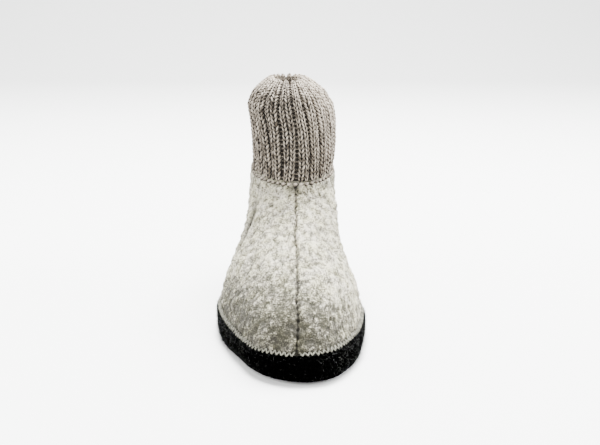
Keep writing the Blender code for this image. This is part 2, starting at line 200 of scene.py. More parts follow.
@dataclass(frozen=True)
class UpperRow:
    """One ring of the upper's outside, as shares of the shoe's sizes."""

    front: float
    front_up: float
    back: float
    back_up: float
    tuck: float
    foot: float
    leg: float
    turn: float
    pinch: float
    lip: float


@dataclass(frozen=True)
class CuffRow:
    """One ring of the cuff's outside, as shares of the collar's and the cuff's sizes."""

    up: float
    front: float
    back: float
    width: float
    sway: float


PLAN = (
    PlanRow(0.000, 0.000, 0.000, 0.000),
    PlanRow(0.005, 0.000, 0.177, 0.177),
    PlanRow(0.015, 0.000, 0.315, 0.315),
    PlanRow(0.035, 0.000, 0.450, 0.450),
    PlanRow(0.065, 0.000, 0.571, 0.571),
    PlanRow(0.100, 0.000, 0.670, 0.672),
    PlanRow(0.145, 0.000, 0.775, 0.780),
    PlanRow(0.205, -0.006, 0.872, 0.885),
    PlanRow(0.270, -0.015, 0.962, 0.952),
    PlanRow(0.340, -0.030, 1.007, 1.000),
    PlanRow(0.420, -0.042, 1.024, 0.970),
    PlanRow(0.520, -0.046, 1.015, 0.925),
    PlanRow(0.620, -0.046, 1.043, 0.975),
    PlanRow(0.720, -0.044, 1.050, 1.030),
    PlanRow(0.820, -0.042, 1.006, 1.006),
    PlanRow(0.900, -0.040, 0.944, 0.944),
    PlanRow(0.960, -0.039, 0.704, 0.704),
    PlanRow(1.000, -0.038, 0.000, 0.000),
)
UPPER = (
    UpperRow(0.0132, 0.000, 0.988, 0.000, 0.0, 0.945, 0.000, 1.00, 0.0, 0.0),
    UpperRow(0.0115, 0.061, 0.990, 0.061, 0.0, 0.953, 0.000, 0.75, 0.0, 0.0),
    UpperRow(0.0160, 0.142, 0.989, 0.138, 0.0, 0.948, 0.000, 0.35, 0.0, 0.0),
    UpperRow(0.0260, 0.238, 0.986, 0.217, 0.0, 0.922, 0.005, 0.15, 0.0, 0.0),
    UpperRow(0.0450, 0.340, 0.981, 0.303, 0.0, 0.870, 0.020, 0.05, 0.0, 0.0),
    UpperRow(0.0850, 0.442, 0.975, 0.399, 0.0, 0.768, 0.060, 0.00, 0.0, 0.0),
    UpperRow(0.1550, 0.533, 0.968, 0.485, 0.0, 0.640, 0.140, 0.00, 0.0, 0.0),
    UpperRow(0.2400, 0.614, 0.961, 0.571, 0.0, 0.475, 0.305, 0.00, 0.0, 0.0),
    UpperRow(0.3370, 0.705, 0.954, 0.662, 0.0, 0.315, 0.520, 0.00, 0.0, 0.0),
    UpperRow(0.4260, 0.800, 0.947, 0.785, 0.0, 0.145, 0.745, 0.00, 0.0, 0.0),
    UpperRow(0.4870, 0.885, 0.940, 0.910, 0.0, 0.035, 0.905, 0.00, 0.0, 0.0),
    UpperRow(0.5110, 0.955, 0.934, 1.035, 0.0, 0.000, 0.965, 0.00, 0.0, 0.0),
    UpperRow(0.5120, 1.000, 0.932, 1.095, 0.0, 0.000, 0.965, 0.00, 1.0, 0.0),
    UpperRow(0.5120, 1.000, 0.932, 1.095, 0.3, 0.000, 0.965, 0.00, 1.0, 0.8),
    UpperRow(0.5120, 1.000, 0.932, 1.095, 0.6, 0.000, 0.965, 0.00, 1.0, 1.0),
    UpperRow(0.5120, 1.000, 0.932, 1.095, 1.0, 0.000, 0.965, 0.00, 1.0, 1.0),
)
COLLAR_ROW = 12
CUFF = (
    CuffRow(0.000, 0.008, 0.008, 0.975, 0.0),
    CuffRow(0.090, 0.003, 0.003, 0.995, -0.2),
    CuffRow(0.240, -0.002, -0.002, 1.020, -0.4),
    CuffRow(0.420, -0.005, -0.005, 1.035, -0.3),
    CuffRow(0.600, -0.002, -0.002, 1.045, 0.2),
    CuffRow(0.740, 0.010, 0.020, 0.955, 0.7),
    CuffRow(0.850, 0.055, 0.110, 0.745, 0.9),
    CuffRow(0.930, 0.165, 0.240, 0.500, 1.1),
)


Row = TypeVar("Row", PlanRow, UpperRow, CuffRow)
Surface = Callable[[Array, Array], Array]


def sampled(rows: Sequence[Row], level: Array) -> Row:
    """One row at any level from 0 to 1, each column a smooth curve through the table.

    Args:
        rows: The table.
        level: Where to read it.

    Returns:
        A row that holds arrays.
    """
    keys = np.linspace(0.0, 1.0, len(rows))
    columns = zip(*(astuple(row) for row in rows))
    return type(rows[0])(*(smooth_curve(keys, values, level) for values in columns))


def backward(around: Array) -> Array:
    """Share of the way from toe to heel: one minus the cosine, halved."""
    return (1.0 - np.cos(around)) / 2.0


def side_of(around: Array) -> Array:
    """1 on the foot's inner side, -1 on its outer side."""
    return np.where(np.sin(around) >= 0.0, 1.0, -1.0)


def grid(*axes: Array) -> Sequence[Array]:
    """Every combination of the axes' values, the first axis by rows."""
    return np.meshgrid(*axes, indexing="ij")


@dataclass(frozen=True)
class Last:
    """The shoe's form: the same sizes and sections as its solids, read as smooth surfaces."""

    length: float = 0.258
    ball_width: float = 0.105
    heel_width: float = 0.071
    ankle_width: float = 0.0705
    collar_height: float = 0.098
    cuff_height: float = 0.0794
    cuff_back: float = 0.88
    felt_wall: float = 0.0030
    band_wall: float = 0.0025
    knit_wall: float = 0.0070
    insole_thickness: float = 0.0030
    sole_thickness: float = 0.0045
    band_height: float = 0.018
    band_lift: float = 0.0007
    toe_spring: float = 0.0012
    arch_lift: float = 0.0014
    heel_spring: float = 0.0010
    collar_pinch: float = 0.0022
    lip_wall: float = 0.0030
    tuck: float = 0.0098
    lip_lift: float = 0.0014
    toe_turn: float = 0.19
    leg_lean: float = 0.004
    cuff_sway: float = 0.003
    leg_egg: float = 0.08
    clearance: float = 0.0003
    toe_flat: tuple[float, float] = (0.22, 0.45)
    heel_flat: tuple[float, float] = (0.72, 0.95)
    waist: tuple[float, float] = (0.36, 0.74)
    turn_fade: tuple[float, float] = (0.11, 0.23)
    shift: tuple[float, float] = (0.0, 0.0)

    @property
    def base(self) -> float:
        """Height of the upper's lower edge over the sole's underside."""
        return self.sole_thickness + self.clearance

    @property
    def collar_level(self) -> float:
        """Level at which the knit is sewn to the felt."""
        return COLLAR_ROW / (len(UPPER) - 1)

    def placed(self, *axes: Array) -> Array:
        """Points from x, y and z in the last's own frame, moved into the shoe's frame."""
        return np.stack(axes, axis=-1) + np.array([*self.shift, 0.0])

    def ground(self, y: Array) -> Array:
        """Height of the sole's underside: toe spring and heel are squares, the arch a sine.

        Args:
            y: Distance from the toe.

        Returns:
            The height there.
        """
        along = y / self.length
        toe = np.clip((self.toe_flat[0] - along) / self.toe_flat[0], 0.0, 1.0) ** 2
        span = self.heel_flat[0] - self.toe_flat[1]
        arch = np.sin(np.pi * np.clip((along - self.toe_flat[1]) / span, 0.0, 1.0)) ** 2
        heel = np.clip((along - self.heel_flat[1]) / (1.0 - self.heel_flat[1]), 0.0, 1.0) ** 2
        return self.toe_spring * toe + self.arch_lift * arch + self.heel_spring * heel

    def underside(self, points: Array) -> Array:
        """Height of the sole's underside at places in the shoe's frame."""
        return self.ground(points[..., 1] - self.shift[1])

    def oval(self, around: Array) -> Array:
        """Half width of the leg's oval, 1 at its widest: a sine, a little fuller in front."""
        return np.abs(np.sin(around)) * (1.0 + self.leg_egg * np.cos(around))

    def lean(self, around: Array) -> Array:
        """How far the leg's axis leans to the outer side: a sine of half the angle."""
        return -self.leg_lean * np.sin(fold_angle(around) / 2.0)

    def plan(self, around: Array) -> tuple[Array, Array]:
        """The band's outline from above, by smooth curves through the plan's rows.

        Args:
            around: Angles from the toe seam.

        Returns:
            Half widths, and how far the middle lies to the inner side.
        """
        painted_crease_shade = fold_angle(around)
        keys = np.arccos(1.0 - 2.0 * np.array([row.along for row in PLAN]))
        local = mix(self.ball_width, self.heel_width, ease(backward(around), *self.waist)) / 2.0
        outer = smooth_curve(keys, [row.outer for row in PLAN], painted_crease_shade)
        inner = smooth_curve(keys, [row.inner for row in PLAN], painted_crease_shade)
        axis = smooth_curve(keys, [row.axis for row in PLAN], painted_crease_shade) * self.ball_width
        return np.where(np.sin(around) >= 0.0, inner, outer) * local, axis

    def upper(self, level: Array, around: Array) -> Array:
        """The upper's outside without its seam.

        y runs from a ring's front to its back as half a cosine, and x is the axis plus or minus
        a half width that is shared between the band's outline and the leg's oval.

        Args:
            level: 0 at the lower edge, 1 at the tucked top edge.
            around: Angles from the toe seam.

        Returns:
            Places in space.
        """
        level, around = np.broadcast_arrays(np.asarray(level, float), np.asarray(around, float))
        row = sampled(UPPER, level)
        along = backward(around)
        inset = row.pinch * self.collar_pinch + row.lip * self.lip_wall
        half, axis = self.plan(around)
        half = half * row.foot + self.oval(around) * (row.leg * self.ankle_width / 2.0 - inset)
        x = mix(self.lean(around), axis, np.clip(row.foot, 0.0, 1.0)) + side_of(around) * half
        y = mix(row.front * self.length + inset, row.back * self.length - inset, along)
        y = y - self.toe_turn * row.turn * (1.0 - ease(along, *self.turn_fade)) * x
        up = mix(row.front_up, row.back_up, along)
        z = self.base + self.ground(y) * (1.0 - up) ** 2 + up * (self.collar_height - self.base)
        return self.placed(x, y, z + row.tuck * self.tuck)

    def cuff(self, level: Array, around: Array) -> Array:
        """The cuff's outside without ribs: rings drawn in from the collar's ring.

        Args:
            level: 0 at the lower edge, 1 where the knit folds in.
            around: Angles from the toe seam.

        Returns:
            Places in space.
        """
        level, around = np.broadcast_arrays(np.asarray(level, float), np.asarray(around, float))
        row, collar = sampled(CUFF, level), UPPER[COLLAR_ROW]
        front = collar.front * self.length + self.collar_pinch
        back = collar.back * self.length - self.collar_pinch
        half = collar.leg * self.ankle_width / 2.0 - self.collar_pinch
        depth = back - front
        along = backward(around)
        x = self.lean(around) - row.sway * self.cuff_sway
        x = x + side_of(around) * self.oval(around) * half * row.width
        y = mix(front + row.front * depth, back - row.back * depth, along)
        seat = mix(self.base, self.collar_height, mix(collar.front_up, collar.back_up, along))
        z = seat + self.lip_lift + row.up * self.cuff_height * mix(1.0, self.cuff_back, along)
        return self.placed(x, y, z)

    def off(self, level: Array, around: Array, distance: Array | float) -> Array:
        """Places at a distance from the upper's outside, along its normals."""
        return self.upper(level, around) + directions(self.upper, level, around)[0] * distance

    def top_edge(self, points: Array) -> Array:
        """Height of the felt's top edge, a plane from its front to its back.

        Args:
            points: Places over which to read it.

        Returns:
            Heights.
        """
        ends = self.upper(np.ones(2), np.array([0.0, np.pi]))
        share = (points[..., 1] - ends[0, 1]) / (ends[1, 1] - ends[0, 1])
        return mix(ends[0, 2], ends[1, 2], share)


def directions(surface: Surface, level: Array, around: Array) -> tuple[Array, Array]:
    """Directions of a surface, from small steps both ways.

    Args:
        surface: The surface.
        level: Levels on it.
        around: Angles on it.

    Returns:
        Outward normals and upward tangents.
    """
    step = 1e-4
    ahead = surface(level, around + step) - surface(level, around - step)
    upward = surface(np.clip(level + step, 0.0, 1.0), around)
    upward = upward - surface(np.clip(level - step, 0.0, 1.0), around)
    return unit(np.cross(ahead, upward)), unit(upward)


def even_angles(surface: Surface, level: float, count: int) -> Array:
    """Angles at even steps of length round one ring of a surface.

    Args:
        surface: The surface that holds the ring.
        level: The ring's level.
        count: How many angles.

    Returns:
        The angles, rising from the toe seam.
    """
    fine = np.linspace(0.0, FULL_TURN, 4001)
    points = surface(np.full_like(fine, level), fine)
    lengths = np.linalg.norm(np.diff(points, axis=0), axis=1)
    travelled = np.concatenate(([0.0], np.cumsum(lengths)))
    return np.interp(np.arange(count) / count * travelled[-1], travelled, fine)


def crowded_angles(surface: Surface, level: float, count: int, crowding: float) -> Array:
    """Angles round one ring that lie closer together at both seams.

    The share of the ring's length is moved towards the seams by a sine of twice the turn.

    Args:
        surface: The surface that holds the ring.
        level: The ring's level.
        count: How many angles.
        crowding: 0 for even steps, near 1 for very close ones at the seams.

    Returns:
        The angles, rising from the toe seam.
    """
    even = np.append(even_angles(surface, level, 2000), FULL_TURN)
    share = np.arange(count) / count
    share = share - crowding / (2.0 * FULL_TURN) * np.sin(2.0 * FULL_TURN * share)
    return np.interp(share, np.linspace(0.0, 1.0, len(even)), even)


def side_levels(surface: Surface, height: Array | float) -> Array:
    """Levels at which a surface's side, half way along, reaches heights.

    Args:
        surface: The surface.
        height: One height or many.

    Returns:
        As many levels.
    """
    levels = np.linspace(0.0, 1.0, 600)
    heights = surface(levels, np.full_like(levels, np.pi / 2.0))[:, 2]
    return np.interp(height, heights, levels)


class Slot(Enum):
    """The record's material slots."""

    RUBBER = "rubber"
    INSOLE = "insole_felt"
    WOOL = "boiled_wool"
    BAND = "black_felt"
    KNIT = "knit"


class Socket:
    """A shader socket that takes part in Python arithmetic by adding Math nodes."""

    def __init__(self, kit: "NodeKit", output: bpy.types.NodeSocket) -> None:
        self.kit = kit
        self.output = output

    def __add__(self, other: "Socket | float") -> "Socket":
        """self + other."""
        return self.kit.math("ADD", self, other)

    def __mul__(self, other: "Socket | float") -> "Socket":
        """self * other."""
        return self.kit.math("MULTIPLY", self, other)

    def __sub__(self, other: "Socket | float") -> "Socket":
        """self - other."""
        return self.kit.math("SUBTRACT", self, other)


class NodeKit:
    """The nodes of one material, with a Principled shader at their end."""

    def __init__(self, name: str) -> None:
        """Start a material that holds only its shader and its output.

        Args:
            name: The material's name.
        """
        self.material = bpy.data.materials.new(name)
        self.material.use_nodes = True
        self.tree = self.material.node_tree
        self.shader = self.tree.nodes["Principled BSDF"]

    def add(self, kind: str, settings: dict[str, object], inputs: dict[str | int, object],
            output: str | int = 0) -> Socket:
        """Add any node.

        Args:
            kind: The node's type.
            settings: Its properties, set before its sockets.
            inputs: Values, or sockets to link, by name or number.
            output: The output to hand back.

        Returns:
            That output, ready for arithmetic.
        """
        node = self.tree.nodes.new(kind)
        for name, value in settings.items():
            setattr(node, name, value)
        for name, value in inputs.items():
            self.feed(node.inputs[name], value)
        return Socket(self, node.outputs[output])

    def feed(self, target: bpy.types.NodeSocket, value: object) -> None:
        """Link a socket, or set its value.

        Args:
            target: The input to feed.
            value: A socket or a plain value.
        """
        if isinstance(value, Socket):
            self.tree.links.new(value.output, target)
        else:
            target.default_value = value

    def math(self, operation: str, first: Socket | float, second: Socket | float) -> Socket:
        """One Math node on two values."""
        return self.add("ShaderNodeMath", {"operation": operation}, {0: first, 1: second})

    def ramp(self, value: Socket, stops: Sequence[tuple[float, Colour]]) -> Socket:
        """Colours along a value.

        Args:
            value: The value, from 0 to 1.
            stops: Place and colour of each stop, the two ends before any other.

        Returns:
            The colour.
        """
        colour = self.add("ShaderNodeValToRGB", {}, {0: value})
        elements = colour.output.node.color_ramp.elements
        for index, (place, tone) in enumerate(stops):
            stop = elements[index] if index < 2 else elements.new(place)
            stop.position = place
            stop.color = (*tone, 1.0)
        return colour

    def blend(self, share: Socket | float, first: Socket | Colour, second: Socket | Colour,
              mode: str = "MIX") -> Socket:
        """Two colours, mixed or multiplied.

        Args:
            share: How much of the second.
            first: A colour.
            second: Another.
            mode: The Mix node's way of blending.

        Returns:
            The colour.
        """
        settings = {"data_type": "RGBA", "blend_type": mode, "clamp_factor": True}
        first, second = (item if isinstance(item, Socket) else (*item, 1.0) for item in (first, second))
        return self.add("ShaderNodeMix", settings, {0: share, 6: first, 7: second}, output=2)

    def place(self) -> Socket:
        """Object coordinates."""
        return self.add("ShaderNodeTexCoord", {}, {}, output="Object")

    def stretched(self, turn: Triple, scale: Triple) -> Socket:
        """Object coordinates turned and stretched, for fibres that lie one way."""
        inputs = {"Vector": self.place(), "Rotation": turn, "Scale": scale}
        return self.add("ShaderNodeMapping", {}, inputs)

    def noise(self, size: float, detail: float = 2.0, vector: Socket | None = None,
              warp: float = 0.0) -> Socket:
        """Noise whose features have a size in metres."""
        inputs = {"Vector": vector or self.place(), "Scale": 1.0 / size, "Detail": detail}
        return self.add("ShaderNodeTexNoise", {}, {**inputs, "Distortion": warp})

    def attribute(self, name: str) -> Socket:
        """A number stored on the mesh."""
        return self.add("ShaderNodeAttribute", {"attribute_name": name}, {}, output="Fac")

    def weighed(self, layers: dict[Socket, float]) -> Socket:
        """Layers of noise round one half, each times its weight.

        Args:
            layers: The layers' weights.

        Returns:
            A tone, one half where all layers are.
        """
        parts = [(layer - 0.5) * weight for layer, weight in layers.items()]
        total = parts[0]
        for part in parts[1:]:
            total = total + part
        return total + 0.5

    def bump(self, height: Socket, distance: float, strength: float) -> Socket:
        """A normal tilted by a height."""
        inputs = {"Height": height, "Distance": distance, "Strength": strength}
        return self.add("ShaderNodeBump", {}, inputs)

    def finish(self, colour: Socket, roughness: Socket | float, normal: Socket | None,
               sheen: float = 0.0, specular: float = 0.3) -> bpy.types.Material:
        """Feed the shader.

        Args:
            colour: Base colour.
            roughness: Roughness.
            normal: A tilted normal, or none.
            sheen: How much light the fibres catch.
            specular: Strength of the plain reflection.

        Returns:
            The material.
        """
        values = {"Base Color": colour, "Roughness": roughness, "Sheen Weight": sheen,
                  "Sheen Roughness": 0.6, "Specular IOR Level": specular}
        if normal is not None:
            values["Normal"] = normal
        for name, value in values.items():
            self.feed(self.shader.inputs[name], value)
        return self.material


@dataclass(frozen=True)
class WoolFinish:
    """Mottled wool: three tones in patches, fibres that lie all ways, and painted shade that darkens
    its hollows.
    """

    name: str
    light: Colour
    middle: Colour
    dark: Colour
    # Colour of the painted shade.
    painted_shade: Colour
    patch: float = 0.0050
    fibre: float = 0.0010
    sheen: float = 0.25
    relief: float = 0.0009
    specular: float = 0.12
    warm: Colour = (1.0, 0.99, 0.89)
    cool: Colour = (0.98, 0.965, 0.98)

    def material(self) -> bpy.types.Material:
        """Patches choose the tone, fine stretched noise adds fibres, and painted shade darkens the
        hollows.

        Returns:
            The material.
        """
        kit = NodeKit(self.name)
        patches = kit.noise(self.patch, 3.0, warp=0.4)
        flecks = kit.noise(self.patch * 0.30, 2.0)
        grain = kit.noise(self.fibre * 0.6, 1.0)
        long = kit.noise(self.fibre, 2.0, kit.stretched((0.4, 0.2, 0.7), (0.25, 1.0, 1.0)))
        across = kit.noise(self.fibre, 2.0, kit.stretched((0.9, 0.5, -0.6), (1.0, 0.3, 1.0)))
        tone = kit.weighed({patches: 0.9, flecks: 1.1, long: 0.9, across: 0.7, grain: 2.7,
                            kit.attribute("tone"): 2.1})
        colour = kit.ramp(tone, ((0.05, self.dark), (0.95, self.light), (0.50, self.middle)))
        tint = kit.ramp(kit.noise(self.patch * 1.6, 2.0), ((0.36, self.warm), (0.62, self.cool)))
        colour = kit.blend(1.0, colour, tint, "MULTIPLY")
        # Painted shade: a number on the mesh blends the colour toward the shade colour.
        colour = kit.blend(kit.attribute("painted_shade"), colour, self.painted_shade)
        normal = kit.bump(long * 0.5 + across * 0.4 + flecks * 0.8, self.relief, 1.0)
        return kit.finish(colour, 0.95, normal, self.sheen, self.specular)


@dataclass(frozen=True)
class YarnFinish:
    """Twisted yarn spun from light and dark wool, with a tone of its own for each stitch."""

    name: str
    light: Colour
    dark: Colour
    fleck: float = 0.0009
    cloud: float = 0.006
    sheen: float = 0.1

    def material(self) -> bpy.types.Material:
        """The stitch's tone and fine flecks mix the two wools; painted shade darkens the hollows.

        Returns:
            The material.
        """
        kit = NodeKit(self.name)
        flecks = kit.noise(self.fleck, 2.0, kit.stretched((0.3, 0.1, 0.5), (1.0, 1.0, 0.45)))
        tone = kit.weighed({flecks: 2.2, kit.attribute("tone"): 0.6, kit.noise(self.cloud, 2.0): 0.8})
        colour = kit.ramp(tone, ((0.12, self.dark), (0.88, self.light)))
        # Colour of the painted shade, far darker than the dark wool.
        shade = tuple(0.12 * value for value in self.dark)
        colour = kit.blend(kit.attribute("painted_shade"), colour, shade)
        return kit.finish(colour, 0.92, kit.bump(flecks, 0.0003, 0.6), self.sheen, 0.15)


@dataclass(frozen=True)
class RubberFinish:
    """Matt black rubber with a fine grain and dull dust."""

    name: str
    colour: Colour
    dust: Colour

    def material(self) -> bpy.types.Material:
        """Fine noise makes the grain; wide noise decides where dust dulls it.

        Returns:
            The material.
        """
        kit = NodeKit(self.name)
        grain, wide = kit.noise(0.0006, 3.0), kit.noise(0.018, 3.0)
        colour = kit.blend((wide - 0.5) * 2.4 * grain, self.colour, self.dust)
        return kit.finish(colour, wide * 0.25 + 0.62, kit.bump(grain, 0.0002, 0.5), specular=0.4)


@dataclass
class Piece:
    """A mesh on its way into the scene: points, faces of four corners, and numbers on points."""

    name: str
    points: Array
    faces: Array
    # How much painted shade each point gets, 0 to 1.
    painted_shade: Array | float = 0.0
    tone: Array | float = 0.5

    def build(self, material: bpy.types.Material, slot: Slot, nodes: Sequence[str] = ()) -> None:
        """Make the object, dress it and tie it to the shoe.

        Args:
            material: Its finish.
            slot: The record's slot for that finish; not used.
            nodes: The CAD nodes that it stands for.
        """
        mesh = bpy.data.meshes.new(self.name)
        points, faces = self.points.reshape(-1, 3), self.faces.reshape(-1, 4)
        mesh.vertices.add(len(points))
        mesh.vertices.foreach_set("co", points.astype(np.float32).ravel())
        mesh.loops.add(faces.size)
        mesh.loops.foreach_set("vertex_index", faces.astype(np.int32).ravel())
        mesh.polygons.add(len(faces))
        mesh.polygons.foreach_set("loop_start", (np.arange(len(faces)) * 4).astype(np.int32))
        mesh.update(calc_edges=True)
        mesh.shade_smooth()
        for name, values in (("painted_shade", self.painted_shade), ("tone", self.tone)):
            layer = mesh.attributes.new(name, "FLOAT", "POINT")
            values = np.broadcast_to(values, self.points.shape[:-1])
            layer.data.foreach_set("value", values.astype(np.float32).ravel())
        mesh.validate()
        mesh.materials.append(material)
        item = bpy.data.objects.new(self.name, mesh)
        bpy.context.scene.collection.objects.link(item)
        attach(item, ROOT_BODY)
        if nodes:
            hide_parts(*nodes)
        LOG.info("%s: %d triangles", self.name, 2 * len(faces))


def grid_faces(rows: int, columns: int, rows_close: bool) -> Array:
    """Faces of a grid that closes round its columns, and across its rows if asked.

    Args:
        rows: Rings of the grid.
        columns: Points in a ring.
        rows_close: Whether the last ring joins the first.

    Returns:
        Four point numbers a face.
    """
    row = np.arange(rows if rows_close else rows - 1)[:, None]
    column = np.arange(columns)[None, :]
    above = (row + 1) % rows
    beside = (column + 1) % columns
    corners = (row * columns + column, row * columns + beside,
               above * columns + beside, above * columns + column)
    return np.stack(np.broadcast_arrays(*corners), axis=-1).reshape(-1, 4)


def capsule_faces(rings: int, sides: int, copies: int) -> Array:
    """Faces of many closed tubes: side quads, and an even-sided cap cut into quads at each end.

    Args:
        rings: Rings along one tube.
        sides: Points in a ring, an even number.
        copies: How many tubes follow each other in the list of points.

    Returns:
        Four point numbers a face.
    """
    body = grid_faces(rings, sides, rows_close=False)
    caps = []
    for start, flip in ((0, True), ((rings - 1) * sides, False)):
        for step in range(1, sides - 2, 2):
            cap = [start, start + step, start + step + 1, start + step + 2]
            caps.append(cap[::-1] if flip else cap)
    one = np.concatenate((body, np.array(caps)))
    shifts = np.arange(copies)[:, None, None] * (rings * sides)
    return (one[None] + shifts).reshape(-1, 4)


@dataclass(frozen=True)
class Fuzz:
    """Loose wool fibres on a surface: flat, curved hairs of four cross-sections each."""

    name: str
    count: int
    length: float
    width: float
    rise: float
    seed: int

    def piece(self, points: Array, normals: Array) -> Piece:
        """Root hairs at random points of a surface.

        A hair leaves along a random tangent, lifts by its rise and curls sideways as a square.

        Args:
            points: Places to root in.
            normals: The outward normals there.

        Returns:
            All hairs as one mesh.
        """
        random = np.random.default_rng(self.seed)
        each = (self.count, 1, 1)
        chosen = random.integers(0, len(points), self.count)
        root, normal = points[chosen][:, None], normals[chosen][:, None]
        tangent = unit(np.cross(normal, random.normal(size=(self.count, 3))[:, None]))
        length = self.length * random.uniform(0.4, 1.3, each)
        rise = self.rise * random.uniform(-0.2, 1.6, each)
        curl = random.uniform(-0.9, 0.9, each) * length
        share = np.array([0.0, 0.34, 0.68, 1.0])[None, :, None]
        path = root + tangent * share * length + normal * share * rise
        path = path + np.cross(normal, tangent) * share ** 2 * curl
        flat = unit(random.normal(size=(self.count, 3)))[:, None]
        taper = np.array([1.0, 0.9, 0.7, 0.3])[None, :, None] * self.width / 2.0
        strip = np.stack([path - flat * taper, path + flat * taper], axis=2)
        strip[..., 2] = np.maximum(strip[..., 2], FLOOR_GAP)
        one = np.array([[0, 1, 3, 2], [2, 3, 5, 4], [4, 5, 7, 6]])
        faces = one[None] + np.arange(self.count)[:, None, None] * 8
        return Piece(self.name, strip, faces, tone=random.uniform(0.0, 1.0, each))


@dataclass(frozen=True)
class Crease:
    """A soft trough in the felt with a ridge on one side, along places on the upper."""

    path: tuple[tuple[float, float], ...]
    depth: float
    width: float
    ridge: float
    side: Triple = (0.0, 0.0, 1.0)
    # How much painted shade the trough gets.
    shade: float = 0.2
    steps: int = 12

    def relief(self, last: Last, points: Array) -> tuple[Array, Array]:
        """A bell of the distance to the crease's line; the ridge is a wider bell on one side.

        The line runs over the felt through the path's levels and angles, in short straight
        steps, and each place belongs to its nearest step.

        Args:
            last: The shoe's form, which carries the line.
            points: Places on the upper.

        Returns:
            How far each place moves out, and how much it lies in the trough.
        """
        keys = np.linspace(0.0, 1.0, len(self.path))
        marks = np.linspace(0.0, 1.0, self.steps + 1)
        line = last.upper(*(smooth_curve(keys, column, marks) for column in zip(*self.path)))
        distance = np.full(points.shape[:-1], np.inf)
        share = np.zeros(points.shape[:-1])
        away = np.zeros(points.shape)
        for index, step in enumerate(np.diff(line, axis=0)):
            part = np.clip((points - line[index]) @ step / (step @ step), 0.0, 1.0)
            offset = points - (line[index] + part[..., None] * step)
            gap = np.linalg.norm(offset, axis=-1)
            closer = gap < distance
            distance = np.where(closer, gap, distance)
            share = np.where(closer, (index + part) / self.steps, share)
            away = np.where(closer[..., None], offset, away)
        beside = ease(away @ np.array(self.side), -0.5 * self.width, self.width)
        fade = np.sin(np.pi * np.clip(share, 0.03, 0.97)) ** 0.6
        trough = fade * bell(distance, self.width)
        ridge = fade * bell(distance - 1.9 * self.width, 1.4 * self.width) * beside
        return self.ridge * ridge - self.depth * trough, trough


